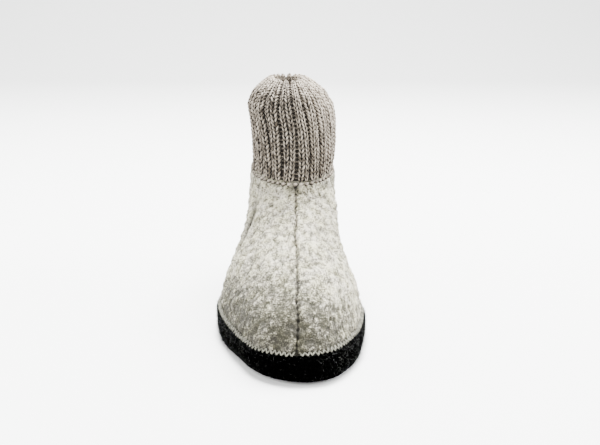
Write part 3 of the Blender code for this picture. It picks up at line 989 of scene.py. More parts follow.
@dataclass
class Upper:
    """The boiled wool upper: a felt wall shaped round the foot, with a puffed centre seam and pebbly
    outside.
    """

    last: Last
    columns: int = 740
    crowding: float = 0.45
    rows: int = 119
    inside_rows: int = 13
    inside_bumps: float = 0.00025
    pebble: float = 0.0044
    pebble_height: float = 0.00175
    crumb: float = 0.0022
    crumb_height: float = 0.00065
    pebble_bend: float = 0.0014
    crumb_bend: float = 0.0008
    swell: float = 0.016
    swell_height: float = 0.0010
    seam_groove: float = 0.0022
    seam_width: float = 0.0009
    seam_puff: float = 0.0013
    puff_width: float = 0.0022
    pucker: float = 0.0054
    seam_drift: float = 0.0008
    seam_bow: float = 0.0018
    bow_heights: tuple[float, float] = (0.045, 0.085)
    hem_dip: float = 0.0010
    hem_width: float = 0.010
    knit_shadow: float = 0.024
    edge_shade: float = 0.75
    tuck_drop: float = 0.030
    tuck_width: float = 0.0036
    toe_reach: float = 0.045
    toe_shade: float = 0.30
    tone_lift: float = 0.004
    creases: tuple[Crease, ...] = (
        Crease(((0.645, -0.93), (0.60, -0.98), (0.555, -1.03), (0.51, -1.12), (0.465, -1.21),
                (0.41, -1.25)), 0.0016, 0.0034, 0.0014, (-0.5, 0.8, -0.2), 1.0),
        Crease(((0.66, 1.20), (0.50, 1.55)), 0.0014, 0.0032, 0.0010, (-0.5, -0.8, 0.2)),
        Crease(((0.64, -0.60), (0.61, 0.15)), 0.0008, 0.0050, 0.0005),
        Crease(((0.52, 0.25), (0.55, 0.85)), 0.0007, 0.0045, 0.0005),
        Crease(((0.72, -2.50), (0.50, -2.20)), 0.0016, 0.0040, 0.0010, (0.0, -0.8, 0.4)),
        Crease(((0.70, 2.30), (0.56, 2.75)), 0.0014, 0.0038, 0.0008, (0.0, -0.5, 0.7)),
    )

    def __post_init__(self) -> None:
        """Place the rings at even steps up front and side, and the columns closer at the seams."""
        last = self.last
        fine = np.linspace(0.0, 1.0, 800)
        travelled = np.zeros(1)
        for turn in (0.0, np.pi / 2.0):
            steps = np.linalg.norm(np.diff(last.upper(fine, turn), axis=0), axis=1)
            travelled = travelled + np.concatenate(([0.0], np.cumsum(0.5 * steps)))
        self.levels = np.interp(np.linspace(0.0, travelled[-1], self.rows), travelled, fine)
        self.angles = crowded_angles(last.upper, 0.25, self.columns, self.crowding)
        self.band_top = side_levels(last.upper, last.band_height)

    def seam(self, points: Array, around: Array) -> tuple[Array, Array]:
        """The seam, from the distance to its line.

        A narrow bell is the groove, a wider one beside it the puffed edge, and a sine along the
        seam draws the edge in at each stitch.

        Args:
            points: Places on the plain felt.
            around: Their angles.

        Returns:
            How far each place moves out, and how much painted shade it gets in the groove.
        """
        drift = self.seam_drift * cloud(points * np.array([0.0, 1.0, 1.0]), 0.006, 7)
        front = np.cos(around) > 0.0
        bow = np.where(front, self.seam_bow, 0.0)
        drift = drift - bow * (1.0 - ease(points[..., 2], *self.bow_heights))
        line = self.last.upper(self.levels[:, None], np.where(front, 0.0, np.pi))
        away = np.linalg.norm((points - line) * np.array([1.0, 0.35, 0.35]), axis=-1)
        away = np.abs(away * side_of(around) + drift)
        run = points[..., 2] + points[..., 1] * 0.6
        stitch = 0.5 + 0.5 * np.cos(FULL_TURN * run / self.pucker + 2.5 * cloud(points, 0.010, 8))
        groove = bell(away, self.seam_width * mix(0.55, 1.35, stitch ** 2))
        puff = bell(away - 3.0 * self.seam_width, self.puff_width) * mix(0.3, 1.2, 1.0 - stitch)
        relief = self.seam_puff * puff - self.seam_groove * groove * mix(0.5, 1.0, stitch)
        return relief, groove * mix(0.45, 1.0, stitch)

    def outside(self) -> tuple[Array, Array, Array, Array]:
        """The felt's outside: lumps of two sizes on a wide swell, the seam, creases and hem.

        Returns:
            Points, normals, painted shade, and tones with painted highlight on lump tops and painted
            shade at the toe.
        """
        last = self.last
        level, around = grid(self.levels, self.angles)
        base = last.upper(level, around)
        normal, _ = directions(last.upper, level, around)
        bend = np.stack([cloud(base, 0.004, 60 + axis) for axis in range(3)], axis=-1)
        big, big_crease, big_tone = lumps(base + self.pebble_bend * bend, self.pebble, 11)
        small, small_crease, small_tone = lumps(base + self.crumb_bend * bend, self.crumb, 23)
        hidden = ease(level, last.collar_level - 0.005, last.collar_level + 0.03)
        shown = ease(level, self.band_top - 0.01, self.band_top + 0.03) * (1.0 - hidden)
        relief = self.pebble_height * (big * mix(0.5, 1.2, big_tone) - 0.5)
        relief = relief + self.crumb_height * (small * mix(0.4, 1.3, small_tone) - 0.5)
        relief = relief + self.swell_height * cloud(base, self.swell, 31)
        seam, groove = self.seam(base, around)
        relief = relief * (1.0 - groove) + seam
        painted_crease_shade = np.zeros_like(relief)
        for crease in self.creases:
            pushed, trough = crease.relief(last, base)
            relief = relief + pushed
            painted_crease_shade = np.maximum(painted_crease_shade, trough * crease.shade)
        hem = bell(level - self.band_top - 0.006, self.hem_width)
        points = base + normal * (relief * shown - self.hem_dip * hem)[..., None]
        tuck = last.upper(last.collar_level - self.tuck_drop, 0.0)
        away = np.linalg.norm((base - tuck) * np.array([0.85, 0.6, 0.8]), axis=-1)
        # Painted shade in the creases between lumps, in the seam's groove and in the crease troughs.
        painted_shade = 0.13 * big_crease * small_crease + 0.04 * big_crease
        painted_shade = np.maximum.reduce([painted_shade, groove, painted_crease_shade]) * shown
        # Painted shadow under the knit's lower edge, painted shade in the hem's groove over the band,
        # and a spot of painted shade at the front below the collar.
        edges = self.edge_shade * bell(level - last.collar_level, self.knit_shadow)
        edges = np.maximum(edges, self.edge_shade * hem)
        painted_shade = np.maximum.reduce([painted_shade, bell(away, self.tuck_width), edges])
        # Each lump's own random tone, plus painted highlight that makes lump tops lighter by their
        # height.
        tone = 0.25 * (big_tone + big) + 0.30 * small_tone + 0.20 * small
        # Painted shade: the felt goes darker towards the toe's low front.
        toe = bell((base - last.upper(0.2, 0.1)) @ np.array([0.6, 0.8, 0.9]), self.toe_reach)
        return points, normal, painted_shade, mix(0.5, tone, 0.8) + self.tone_lift - self.toe_shade * toe

    def build(self, wool: WoolFinish, fuzz: Fuzz) -> None:
        """Make the felt wall and the fibres that stand off it.

        Args:
            wool: Finish of both.
            fuzz: The fibres.
        """
        last = self.last
        points, normal, painted_shade, tone = self.outside()
        levels = np.linspace(1.0, 0.0, self.inside_rows)
        level, around = grid(levels, self.angles)
        bumps = np.abs(cloud(last.upper(level, around), 0.003, 47))
        depth = last.felt_wall - self.inside_bumps * bumps
        inner = last.off(level, around, -depth[..., None])
        inner[0, :, 2] = last.top_edge(inner[0])
        wall = np.concatenate((points, inner))
        more = ((0, self.inside_rows), (0, 0))
        felt = Piece("felt_upper", wall, grid_faces(len(wall), self.columns, rows_close=True),
                     np.pad(painted_shade, more), np.pad(tone, more, constant_values=0.5))
        material = wool.material()
        felt.build(material, Slot.WOOL, ("upper",))
        bare = (self.levels > self.band_top) & (self.levels < last.collar_level)
        hairs = fuzz.piece(points[bare].reshape(-1, 3), normal[bare].reshape(-1, 3))
        hairs.build(material, Slot.WOOL)


@dataclass
class Knit:
    """The rib knit cuff: stitches laid on a folded wall, two wales to each rib."""

    last: Last
    ribs: int = 24
    rib_depth: float = 0.0023
    rib_lean: float = 0.6
    rib_drift: float = 0.06
    course: float = 0.0030
    wale_offset: float = 0.213
    yarn: float = 0.00125
    first_course: float = 0.0026
    shell_columns_per_rib: int = 10
    shell_inset: float = 0.0013
    tube_rings: int = 5
    tube_sides: int = 6
    leg_reach: float = 1.55
    leg_slant: float = 0.38
    leg_flat: float = 0.54
    uneven: float = 0.08
    shift: float = 0.00012
    lean_angle: float = 0.80
    lean_narrowness: float = 14.0
    purl_thickness: float = 0.62
    purl_width: float = 1.3
    purl_depth: float = 0.0010
    # Where painted light lies on the cuff: across the inner side, by height, and at the top.
    painted_light_side: tuple[float, float] = (-0.004, 0.024)
    painted_light_heights: tuple[float, float] = (0.095, 0.145)
    painted_light_top: tuple[float, float] = (0.162, 0.174)
    edge_drop: float = 0.004
    edge_dip: float = 0.010
    links: int = 60
    link_reach: float = 0.0021
    levels_per_metre: float = 14.0
    fuzz_roots: int = 30000

    def __post_init__(self) -> None:
        """Read the wall's section once, as a fine grid that all stitches are placed on."""
        last = self.last
        self.grid_angles = even_angles(last.cuff, 0.4, 720)
        outer_levels = np.linspace(0.0, 1.0, 70)
        level, around = grid(outer_levels, self.grid_angles)
        outer = last.cuff(level, around)
        outer_normal, _ = directions(last.cuff, level, around)
        radius = last.knit_wall / 2.0
        normal, tangent = directions(last.cuff, level[-1:], around[-1:])
        bends = np.linspace(0.0, np.pi, 16)[1:-1][:, None, None]
        fold_normal = normal * np.cos(bends) + tangent * np.sin(bends)
        fold = outer[-1:] - normal * radius + fold_normal * radius
        side = last.cuff(np.zeros(1), np.array([np.pi / 2.0]))
        seat = side_levels(last.cuff, last.top_edge(side)[0] + last.clearance)
        level, around = grid(np.linspace(1.0, seat, 60), self.grid_angles)
        inner_normal, _ = directions(last.cuff, level, around)
        inner = last.cuff(level, around) - inner_normal * last.knit_wall
        self.points = np.concatenate((outer, fold, inner))
        self.normals = np.concatenate((outer_normal, fold_normal, -inner_normal))
        steps = np.linalg.norm(np.diff(self.points, axis=0), axis=-1).mean(axis=1)
        self.travels = np.concatenate(([0.0], np.cumsum(steps)))
        self.fold_start = self.travels[len(outer) - 1]
        self.fold_end = self.travels[len(outer) + len(bends)]
        widest = outer[28]
        self.pitch = np.linalg.norm(widest - np.roll(widest, 1, axis=0), axis=-1).sum() / self.ribs

    def relief(self, phase: Array, travel: Array) -> Array:
        """Depth of the valleys between ribs, a raised cosine; shallow at the lip and inside.

        Args:
            phase: Ribs round the leg, a valley at each whole number.
            travel: Length up the outside, over the fold and down the inside.

        Returns:
            How far the wall moves out, never above zero.
        """
        valley = (0.5 + 0.5 * np.cos(FULL_TURN * phase)) ** 1.6
        strength = mix(0.45, 1.0, ease(travel, 0.0, 0.010))
        strength = strength * mix(1.0, 0.35, ease(travel, self.fold_start, self.fold_end))
        return -self.rib_depth * valley * strength

    def wander(self, phase: Array, travel: Array) -> Array:
        """Sideways drift of the ribs: slow sines of the place, and a lean up both front sides.

        Args:
            phase: Ribs round the leg.
            travel: Length along the wall.

        Returns:
            How many ribs the wall is turned there.
        """
        turn = FULL_TURN * phase / self.ribs
        slow = np.sin(7.0 * turn + travel * 55.0) + 0.6 * np.sin(18.0 * turn - travel * 90.0)
        outer, inner = ((0.5 + 0.5 * np.cos(turn - place)) ** self.lean_narrowness
                        for place in (-self.lean_angle, self.lean_angle))
        rise = np.clip(travel / self.fold_start, 0.0, 1.0)
        return self.rib_drift * slow - self.rib_lean * rise * (outer + 0.7 * inner)

    def at(self, phase: Array, travel: Array, out: Array | float) -> Array:
        """A place on the knit: a blend of the four nearest points of the wall's grid.

        Args:
            phase: Ribs round the leg from the toe seam, a valley at each whole number.
            travel: Length up the outside, over the fold and down the inside.
            out: Height over the ribbed surface.

        Returns:
            Places in space.
        """
        travel = np.clip(travel, 0.0, self.travels[-1])
        columns = self.points.shape[1]
        place = np.mod((phase + self.wander(phase, travel)) / self.ribs, 1.0) * columns
        left = np.floor(place).astype(int) % columns
        across = (place - np.floor(place))[..., None]
        right = (left + 1) % columns
        row = np.clip(np.searchsorted(self.travels, travel, side="right") - 1, 0, len(self.travels) - 2)
        span = self.travels[row + 1] - self.travels[row]
        up = ((travel - self.travels[row]) / span)[..., None]
        place, normal = (mix(mix(table[row, left], table[row, right], across),
                             mix(table[row + 1, left], table[row + 1, right], across), up)
                         for table in (self.points, self.normals))
        return place + unit(normal) * (self.relief(phase, travel) + out)[..., None]

    def turned(self, phase: Array) -> Array:
        """Angles round the cuff at phases, without the drift."""
        angles = np.append(self.grid_angles, FULL_TURN)
        return np.interp(np.mod(phase / self.ribs, 1.0), np.linspace(0.0, 1.0, len(angles)), angles)

    def tube(self, start: float) -> tuple[Array, Array]:
        """Shares along a tube, from a start to 1, and angles round it, ready to combine."""
        share = np.linspace(start, 1.0, self.tube_rings)[None, :, None]
        return share, np.arange(self.tube_sides)[None, None, :] * FULL_TURN / self.tube_sides

    def dressed(self, name: str, points: Array, painted_shade: Array, tone: Array) -> Piece:
        """Tubes as one piece, with painted light that makes them paler and less shaded up the inner
        side and at the very top, eased both ways.

        Args:
            name: The piece's name.
            points: Tubes, rings and sides of all stitches.
            painted_shade: How much painted shade each point gets, cut to 0 to 1.
            tone: Light or dark yarn, one number a stitch.

        Returns:
            The stitches as one mesh.
        """
        # Painted light: the inner side up high and the very top are drawn paler, with less painted
        # shade.
        inner = ease(points[..., 0], *self.painted_light_side) * ease(points[..., 2], *self.painted_light_heights)
        painted_light = np.clip(0.8 * inner + 0.4 * ease(points[..., 2], *self.painted_light_top), 0.0, 1.0)
        faces = capsule_faces(self.tube_rings, self.tube_sides, len(points))
        painted_shade = np.clip(painted_shade, 0.0, 1.0) * (1.0 - 0.35 * painted_light)
        return Piece(name, points, faces, painted_shade, tone + 0.55 * painted_light)

    def legs(self, name: str, start: float, end: float, seed: int) -> Piece:
        """Stitches of the knit wales, each a pair of slanted yarn tubes.

        A leg runs from the wale's middle out and up, bulging as a sine and diving at its ends.

        Args:
            name: The piece's name.
            start: Where along the travel the first course lies.
            end: Where the last one lies.
            seed: Seed of the small differences between stitches.

        Returns:
            All the legs as one mesh.
        """
        random = np.random.default_rng(seed)
        courses = np.arange(start, end, self.course)
        hands = np.array([-1.0, 1.0])
        wales = (np.arange(self.ribs)[:, None] + 0.5 + hands * self.wale_offset).ravel()
        course, wale, hand = (value.reshape(-1, 1, 1)
                              for value in grid(courses, wales, hands))
        count = len(course)
        share, angle = self.tube(0.0)
        width = self.pitch * 2.0 * self.wale_offset
        jitter = random.normal(0.0, 1.0, (4, count, 1, 1))
        arch = np.sin(np.pi * share)
        slope = np.arctan2(self.leg_slant * width, self.leg_reach * self.course) * hand
        thick = self.yarn * mix(0.55, 1.0, arch ** 0.5) * (1.0 + self.uneven * jitter[0])
        flat = np.cos(angle) * thick * self.leg_flat
        sideways = hand * width * (0.05 + self.leg_slant * share) + flat * np.cos(slope)
        along = (share - 0.5) * self.course * self.leg_reach - flat * np.sin(slope)
        out = self.yarn * (0.75 * arch - 0.55) + np.sin(angle) * thick * 0.60 + self.shift * jitter[1]
        phase = wale + (sideways + 0.00008 * jitter[3]) / self.pitch
        points = self.at(phase, course + along + self.shift * jitter[2], out)
        # Painted shade where each leg dives into the wall at its ends, and on its underside.
        depth = np.clip(1.0 - arch, 0.0, 1.0) * 0.95
        low = np.clip(0.95 - 1.2 * np.sin(angle), 0.0, 1.0)
        return self.dressed(name, points, depth + low, random.uniform(0.0, 1.0, (count, 1, 1)))

    def purls(self) -> Piece:
        """Purl bumps down in the valleys: short tubes that lie across the wale.

        Returns:
            All the bumps as one mesh.
        """
        random = np.random.default_rng(73)
        courses = np.arange(self.first_course, self.fold_end, self.course)
        course, valley = (value.reshape(-1, 1, 1)
                          for value in grid(courses, np.arange(self.ribs)))
        count = len(course)
        share, angle = self.tube(-1.0)
        jitter = random.normal(0.0, 1.0, (2, count, 1, 1))
        thick = self.yarn * self.purl_thickness * np.sqrt(np.clip(1.15 - share ** 2, 0.0, 1.0))
        thick = thick * (1.0 + self.uneven * jitter[0])
        travel = course + np.cos(angle) * thick * 0.8 + 0.0006 * (1.0 - share ** 2)
        out = np.sin(angle) * thick - 0.35 * self.yarn * share ** 2 - self.purl_depth
        phase = valley + (share * self.yarn * self.purl_width + 0.0001 * jitter[1]) / self.pitch
        # Painted shade: the purl bumps lie dark in the valleys, darker at their ends and lighter on
        # their tops.
        painted_shade = 0.80 + 0.20 * share ** 2 - 0.18 * np.sin(angle)
        points = self.at(phase, travel, out)
        return self.dressed("purl_valleys", points, painted_shade, random.uniform(0.0, 1.0, (count, 1, 1)))

    def shell(self) -> Piece:
        """The wall behind the stitches, with the same ribs, down over the felt's tucked edge, almost
        wholly in painted shade.

        Returns:
            The wall as one closed mesh.
        """
        last = self.last
        columns = self.ribs * self.shell_columns_per_rib
        phases = np.arange(columns) / self.shell_columns_per_rib
        travels = np.linspace(0.0, self.travels[-1], 72)
        travel, phase = grid(travels, phases)
        wall = self.at(phase, travel, -self.shell_inset)
        shares = np.linspace(1.0, 0.0, 4)[:-1]
        level, around = grid(mix(last.collar_level, 1.0, shares), self.turned(phases))
        lips = last.off(level, around, last.clearance)
        for ring in (lips[0], wall[-1]):
            ring[:, 2] = last.top_edge(ring) + last.clearance
        points = np.concatenate((wall, lips))
        # Painted shade: the wall is drawn almost fully dark, as the shade behind the stitches.
        return Piece("cuff_wall", points, grid_faces(len(points), columns, rows_close=True), 0.98, 0.3)

    def bound_edge(self) -> Piece:
        """The chain of slanted links along the cuff's lower edge, over the felt's shoulder.

        Returns:
            The links as one mesh.
        """
        random = np.random.default_rng(5)
        phase = (np.arange(self.links) / self.links * self.ribs)[:, None, None]
        share, angle = self.tube(-1.0)
        thick = self.yarn * np.sqrt(np.clip(1.12 - share ** 2, 0.0, 1.0))
        sideways = share * self.link_reach - np.cos(angle) * thick * 0.5
        around = self.turned(phase + sideways / self.pitch)
        drop = self.edge_drop + self.edge_dip * bell(fold_angle(around), 0.55)
        rise = (share * 0.0012 + np.cos(angle) * thick) * self.levels_per_metre
        level = self.last.collar_level - drop + rise
        out = np.sin(angle) * thick + 0.0010 - 0.0008 * share ** 2
        points = self.last.off(level, around, out[..., None])
        # Painted shade at the links' ends and on their undersides.
        painted_shade = 1.2 * share ** 2 + 0.7 - np.sin(angle)
        return self.dressed("bound_edge", points, painted_shade, random.uniform(0.2, 1.0, (self.links, 1, 1)))

    def build(self, yarn: YarnFinish, fuzz: Fuzz) -> None:
        """Make the wall, the stitches outside, over the fold and inside, and the fuzz.

        Args:
            yarn: Finish of all of them.
            fuzz: The fibres.
        """
        material = yarn.material()
        self.shell().build(material, Slot.KNIT, ("knit_cuff",))
        split = self.fold_end - 0.001
        outside = self.legs("knit_outside", self.first_course, split, 71)
        inside = self.legs("knit_inside", split, self.travels[-1] - self.course, 72)
        random = np.random.default_rng(9)
        phase = random.uniform(0.0, self.ribs, self.fuzz_roots)
        travel = random.uniform(0.001, self.fold_end + 0.012, self.fuzz_roots)
        roots = self.at(phase, travel, 0.0)
        hairs = fuzz.piece(roots, unit(self.at(phase, travel, 0.001) - roots))
        for piece in (outside, inside, self.purls(), self.bound_edge(), hairs):
            piece.build(material, Slot.KNIT)


@dataclass
class Band:
    """The black felt band round the lower edge, with the light stitches along its top."""

    last: Last
    columns: int = 560
    lump: float = 0.0022
    lump_height: float = 0.0004
    swell: float = 0.012
    swell_height: float = 0.0005
    teeth: int = 186
    thread: float = 0.00040
    thread_rings: int = 7
    tooth_top: float = 0.0021
    tooth_foot: float = 0.0001
    notch: float = 0.0022
    notch_shift: float = 0.0016
    lint_from: float = 0.026
    side_specks: float = 0.18
    section: tuple[tuple[float, float], ...] = (
        (0.45, 0.00), (0.70, 0.03), (0.86, 0.09), (0.96, 0.18), (1.00, 0.28), (1.02, 0.40),
        (1.04, 0.52), (1.04, 0.64), (1.03, 0.74), (1.00, 0.82), (0.94, 0.90), (0.82, 0.96),
        (0.58, 1.00), (0.30, 1.00),
    )

    def ring(self, around: Array, out: float, height: float) -> tuple[Array, Array]:
        """A ring of the band.

        Below the upper's lower edge it keeps the upper's outline and follows the sole.

        Args:
            around: Angles from the toe seam.
            out: Distance from the felt.
            height: Height over the sole's underside.

        Returns:
            Points and outward normals.
        """
        last = self.last
        level = np.full_like(around, side_levels(last.upper, height))
        normal, _ = directions(last.upper, level, around)
        points = last.upper(level, around) + normal * out
        if height < last.base:
            points[:, 2] = last.underside(points) + height
        return points, normal

    def build(self, felt: WoolFinish, lint: WoolFinish, thread: YarnFinish, fuzz: Fuzz) -> None:
        """Make the band, its fibres and the stitches; most fibres stand on the two sides.

        Args:
            felt: Finish of the band.
            lint: Finish of its fibres.
            thread: Finish of the stitches.
            fuzz: The fibres.
        """
        last = self.last
        around = even_angles(last.upper, 0.1, self.columns)
        heights = [float(mix(last.band_lift, last.band_height, up)) for _, up in self.section]
        rings = [self.ring(around, last.clearance + out * last.band_wall, height)
                 for (out, _), height in zip(self.section, heights)]
        outside, normal = (np.stack(parts) for parts in zip(*rings))
        bumps, crease, own = lumps(outside, self.lump, 83)
        relief = self.lump_height * (bumps - 0.6) + self.swell_height * cloud(outside, self.swell, 91)
        outside = outside + normal * relief[..., None]
        levels = np.linspace(side_levels(last.upper, last.band_height), 0.0, 3)
        level, turn = grid(levels, around)
        inside = last.off(level, turn, last.clearance)
        lowest, _ = self.ring(around, last.clearance, last.band_lift)
        points = np.concatenate((outside, inside, lowest[None]))
        beside = ease(np.abs(outside[..., 0]), 0.6 * self.lint_from, 1.4 * self.lint_from)
        more = ((0, len(inside) + 1), (0, 0))
        # Painted shade in the creases between the band's lumps.
        band = Piece("band_felt", points, grid_faces(len(points), self.columns, rows_close=True),
                     np.pad(0.6 * crease, more), np.pad(0.3 * own + self.side_specks * beside, more))
        band.build(felt.material(), Slot.BAND, ("felt_band",))
        rooted, facing = outside[1:].reshape(-1, 3), normal[1:].reshape(-1, 3)
        sides = [np.abs(rooted[:, 0]) > self.lint_from * share for share in np.linspace(0.6, 1.6, 7)]
        facing = np.concatenate((facing, *(facing[side] for side in sides)))
        rooted = np.concatenate((rooted, *(rooted[side] for side in sides)))
        fuzz.piece(rooted, facing).build(lint.material(), Slot.BAND)
        self.stitches().build(thread.material(), Slot.WOOL)

    def stitches(self) -> Piece:
        """Zigzag thread from the felt's hem down onto the band and back up, tooth after tooth.

        A thread's path is a straight line in angle and height, pushed out over the band's edge
        by a smooth curve through four distances; its cross-section is a hexagon.

        Returns:
            All the teeth as one mesh, left out where the centre seam runs in.
        """
        last = self.last
        random = np.random.default_rng(17)
        count = 2 * self.teeth
        corners = even_angles(last.upper, 0.1, count)
        share = np.linspace(0.0, 1.0, self.thread_rings)[None, :]
        falling = (np.arange(count) % 2 == 0)[:, None]
        down = np.where(falling, share, 1.0 - share)
        around = mix(corners[:, None], np.append(corners[1:], FULL_TURN)[:, None], share)
        high = last.band_height + self.tooth_top + random.normal(0.0, 0.00020, (count, 1))
        low = last.band_height + self.tooth_foot + random.normal(0.0, 0.00030, (count, 1))
        out = smooth_curve((0.0, 0.35, 0.70, 1.0), (0.0003, 0.0009, 0.0018, 0.0022), down)
        level = side_levels(last.upper, mix(high, low, down))
        normal, _ = directions(last.upper, level, around)
        path = last.upper(level, around) + normal * out[..., None]
        forward = unit(np.gradient(path, axis=1))
        side = unit(np.cross(forward, normal))
        up = np.cross(side, forward)
        angle = np.arange(6)[:, None] * FULL_TURN / 6.0
        ring = side[:, :, None] * np.cos(angle) * 1.25 + up[:, :, None] * np.sin(angle)
        points = path[:, :, None] + ring * self.thread
        tone = random.uniform(0.2, 1.0, (count, 1, 1))
        seam = last.upper(level[:, 3], 0.0) + np.array([self.notch_shift, 0.0, 0.0])
        kept = np.linalg.norm(path[:, 3] - seam, axis=-1) > self.notch
        faces = capsule_faces(self.thread_rings, 6, kept.sum())
        return Piece("zigzag_stitches", points[kept], faces, tone=tone[kept])


@dataclass
class Sole:
    """Rubber outsole with a waved tread, and the felt insole on it."""

    last: Last
    columns: int = 480
    strips: int = 64
    chamfer: float = 0.0010
    soft_edge: float = 0.0004
    tread_depth: float = 0.0009
    tread_pitch: float = 0.0062
    tread_bend: float = 0.0022
    bend_pitch: float = 0.017
    heel_place: tuple[float, float] = (0.0, 0.088)
    heel_size: tuple[float, float] = (0.026, 0.034)
    heel_wear: float = 0.0008
    felt_bumps: float = 0.0002
    pad_edge: float = 0.0009
    pad_soft: float = 0.0003

    def slab(self, name: str, edge: Sequence[tuple[float, float]], below: Surface | None,
             above: Surface | None) -> Piece:
        """A closed slab: an underside, a side wall of rings and an upper face.

        Both faces are strips from each point of their ring to the one opposite, and repeat the
        ring as their first and last rows.

        Args:
            name: The piece's name.
            edge: Distance from the upper's outline and height of each ring, from below up.
            below: Relief of the underside at x and y, or none.
            above: Relief of the upper face, or none.

        Returns:
            The slab as one mesh.
        """
        last, half = self.last, self.columns // 2
        around = np.arange(self.columns) / self.columns * FULL_TURN
        side = np.stack([last.off(np.zeros_like(around), around, distance) for distance, _ in edge])
        side[..., 2] = last.underside(side) + np.array(edge)[:, 1:]
        share = np.linspace(0.0, 1.0, self.strips)[None, :, None]
        parts = [side.reshape(-1, 3)]
        for ring, (_, height), relief in ((side[0], edge[0], below), (side[-1], edge[-1], above)):
            right, left = ring[1:half], ring[:half:-1]
            face = mix(right[:, None], left[:, None], share)
            added = 0.0 if relief is None else relief(face)
            face[..., 2] = last.underside(face) + height + added
            face[:, 0], face[:, -1] = right, left
            parts.append(face.reshape(-1, 3))
        row, cell = grid(np.arange(half - 2), np.arange(self.strips - 1))
        first = row * self.strips + cell
        corners = (first, first + 1, first + self.strips + 1, first + self.strips)
        disc = np.stack(corners, axis=-1).reshape(-1, 4)
        lower, upper = len(parts[0]), len(parts[0]) + len(parts[1])
        wall = grid_faces(len(edge), self.columns, rows_close=False)
        faces = np.concatenate((wall, disc[:, ::-1] + lower, disc + upper))
        return Piece(name, np.concatenate(parts), faces)

    def tread(self, places: Array) -> Array:
        """Relief of the outsole's underside: waves that run across it, cut up into it.

        The wave is a sine of the distance along the foot, bent by a sine of the distance across.

        Args:
            places: Places on the underside.

        Returns:
            Height over the plain sole.
        """
        bend = self.tread_bend * np.sin(FULL_TURN * places[..., 0] / self.bend_pitch)
        wave = np.sin(FULL_TURN * (places[..., 1] + bend) / self.tread_pitch)
        return self.tread_depth * ease(wave, 0.1, 0.7)

    def worn(self, places: Array) -> Array:
        """Relief of the insole's top: felted bumps, and a shallow dish worn under the heel.

        Args:
            places: Places on the top.

        Returns:
            Height over the plain insole.
        """
        heel = np.linalg.norm((places[..., :2] - self.heel_place) / self.heel_size, axis=-1)
        return self.felt_bumps * cloud(places, 0.004, 5) - self.heel_wear * bell(heel, 0.9)

    def build(self, rubber: RubberFinish, felt: WoolFinish) -> None:
        """Make the outsole and the insole.

        Args:
            rubber: Finish of the outsole.
            felt: Finish of the insole.
        """
        last = self.last
        thick = last.sole_thickness
        soft = self.soft_edge
        edge = ((-self.chamfer, 0.0), (-0.0003, soft), (0.0, self.chamfer), (0.0, thick - soft),
                (-soft, thick))
        outsole = self.slab("rubber_outsole", edge, self.tread, None)
        outsole.build(rubber.material(), Slot.RUBBER, ("outsole",))
        inset = -(last.felt_wall + last.clearance)
        top = last.base + last.insole_thickness
        edge = ((inset, last.base), (inset, top - self.pad_edge),
                (inset - self.pad_soft, top - self.pad_soft), (inset - self.pad_edge, top))
        insole = self.slab("insole_pad", edge, None, self.worn)
        insole.build(felt.material(), Slot.INSOLE, ("insole",))


@dataclass(frozen=True)
class Lamp:
    """One square soft light that faces the shoe, and may light the backdrop only."""

    name: str
    place: Triple
    size: float
    power: float
    backdrop_only: bool = False

    def build(self, aim: Triple, backdrop: bpy.types.Collection) -> None:
        """Hang the light.

        Args:
            aim: What it faces.
            backdrop: The collection that a light for the backdrop is kept to.
        """
        lamp = bpy.data.lights.new(self.name, "AREA")
        lamp.shape = "SQUARE"
        lamp.size = self.size
        lamp.energy = self.power
        item = bpy.data.objects.new(self.name, lamp)
        item.location = self.place
        item.rotation_euler = (Vector(aim) - Vector(self.place)).to_track_quat("-Z", "Y").to_euler()
        if self.backdrop_only:
            item.light_linking.receiver_collection = backdrop
        bpy.context.scene.collection.objects.link(item)


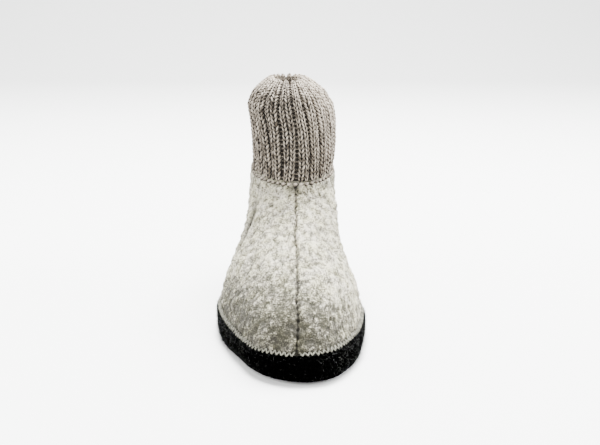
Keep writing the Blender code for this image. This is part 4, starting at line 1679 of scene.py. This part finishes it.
@dataclass
class Studio:
    """Pale floor that curves up behind the shoe, soft lights and the photograph's camera."""

    camera_place: Triple = (0.0073, -0.605, 0.238)
    camera_pitch: float = 15.47
    lens: float = 49.98
    sensor: float = 36.0
    floor_front: float = -2.5
    floor_depth: float = 2.6
    floor_width: float = 6.0
    curve_radius: float = 0.9
    wall_height: float = 2.2
    sky_strength: float = 1.35
    aim: Triple = (0.0, 0.0, 0.06)
    lamps: tuple[Lamp, ...] = (
        Lamp("top_light", (0.15, 0.38, 1.3), 0.8, 92.0),
        Lamp("left_light", (-1.4, 0.0, 0.7), 1.0, 20.0),
        Lamp("right_light", (1.4, 0.1, 0.8), 1.0, 32.0),
        Lamp("front_light", (0.2, -1.6, 0.9), 1.2, 8.0),
        Lamp("floor_light", (-0.1, 0.75, 2.7), 0.7, 262.0, backdrop_only=True),
    )

    def backdrop(self) -> bpy.types.Collection:
        """One sheet: flat floor, a quarter round and a wall, carried sideways.

        Returns:
            A collection that holds only the sheet, for the light that brightens it.
        """
        bend = np.linspace(0.0, np.pi / 2.0, 24)
        radius = self.curve_radius
        y = self.floor_depth - radius * (1.0 - np.sin(bend))
        y = np.concatenate(([self.floor_front], y, [self.floor_depth]))
        z = np.concatenate(([0.0], radius * (1.0 - np.cos(bend)), [self.wall_height]))
        x = np.linspace(-self.floor_width / 2.0, self.floor_width / 2.0, 3)
        points = np.stack(np.broadcast_arrays(x[None, :], y[:, None], z[:, None]), axis=-1)
        row, cell = grid(np.arange(len(y) - 1), np.arange(2))
        first = (row * 3 + cell).ravel()
        faces = np.stack([first, first + 1, first + 4, first + 3], axis=-1)
        mesh = bpy.data.meshes.new("backdrop")
        mesh.from_pydata(points.reshape(-1, 3).tolist(), [], faces.tolist())
        mesh.shade_smooth()
        kit = NodeKit("backdrop_paper")
        colour = kit.blend(kit.noise(0.8, 1.0), (0.87, 0.88, 0.87), (0.90, 0.91, 0.90))
        mesh.materials.append(kit.finish(colour, 0.7, None, specular=0.15))
        item = bpy.data.objects.new("backdrop", mesh)
        bpy.context.scene.collection.objects.link(item)
        item.visible_diffuse = False
        paper = bpy.data.collections.new("backdrop_only")
        paper.objects.link(item)
        return paper

    def build(self) -> None:
        """Set up floor, lights, sky and camera."""
        paper = self.backdrop()
        for lamp in self.lamps:
            lamp.build(self.aim, paper)
        world = bpy.data.worlds.new("studio_sky")
        world.use_nodes = True
        sky = world.node_tree.nodes["Background"]
        sky.inputs["Color"].default_value = (1.0, 1.0, 1.0, 1.0)
        sky.inputs["Strength"].default_value = self.sky_strength
        bpy.context.scene.world = world
        camera = bpy.data.cameras.new("camera")
        camera.lens = self.lens
        camera.sensor_width = self.sensor
        item = bpy.data.objects.new("camera", camera)
        item.location = self.camera_place
        item.rotation_euler = (np.radians(90.0 - self.camera_pitch), 0.0, 0.0)
        bpy.context.scene.collection.objects.link(item)
        bpy.context.scene.camera = item


def fitted_last() -> Last:
    """The shoe's form, moved so that its outsole lies where the frame's outsole does.

    Returns:
        The moved last.
    """
    ring = Last().upper(0.0, np.linspace(0.0, FULL_TURN, 1441))[:, :2]
    middle = (ring.min(axis=0) + ring.max(axis=0)) / 2.0
    low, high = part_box("outsole")
    shift = [(low[axis] + high[axis]) / 2.0 - middle[axis] for axis in range(2)]
    return Last(shift=(float(shift[0]), float(shift[1])))


def main() -> None:
    """Build the shoe's pieces around the frame, then the studio."""
    logging.basicConfig(level=logging.INFO, format="%(message)s")
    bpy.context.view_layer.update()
    last = fitted_last()
    grey_wool = WoolFinish("grey_boiled_wool", (0.82, 0.783, 0.63), (0.248, 0.236, 0.179),
                           (0.072, 0.070, 0.055), (0.020, 0.019, 0.015), sheen=0.05)
    black_felt = WoolFinish("black_felt", (0.018, 0.019, 0.019), (0.0012, 0.0012, 0.0012),
                            (0.0004, 0.0004, 0.0004), (0.0003, 0.0003, 0.0003), patch=0.002,
                            sheen=0.0, specular=0.0)
    grey_lint = WoolFinish("grey_lint", (0.12, 0.126, 0.126), (0.018, 0.019, 0.019),
                           (0.003, 0.003, 0.003), (0.001, 0.001, 0.001), patch=0.008,
                           sheen=0.0, specular=0.0)
    insole_felt = WoolFinish("insole_felt", (0.48, 0.46, 0.41), (0.26, 0.25, 0.22),
                             (0.14, 0.135, 0.12), (0.06, 0.06, 0.055), sheen=0.1)
    taupe_yarn = YarnFinish("taupe_yarn", (0.80, 0.70, 0.57), (0.086, 0.067, 0.049))
    grey_thread = YarnFinish("grey_thread", (0.34, 0.335, 0.27), (0.13, 0.125, 0.10))
    rubber = RubberFinish("black_rubber", (0.010, 0.010, 0.010), (0.06, 0.06, 0.058))
    Upper(last).build(grey_wool, Fuzz("felt_fuzz", 9000, 0.0022, 0.00007, 0.0006, 201))
    Knit(last).build(taupe_yarn, Fuzz("knit_fuzz", 7000, 0.0024, 0.00006, 0.0009, 202))
    band_fuzz = Fuzz("band_fuzz", 12000, 0.0015, 0.00014, 0.0010, 203)
    Band(last).build(black_felt, grey_lint, grey_thread, band_fuzz)
    Sole(last).build(rubber, insole_felt)
    Studio().build()


if __name__ == "__main__":
    main()
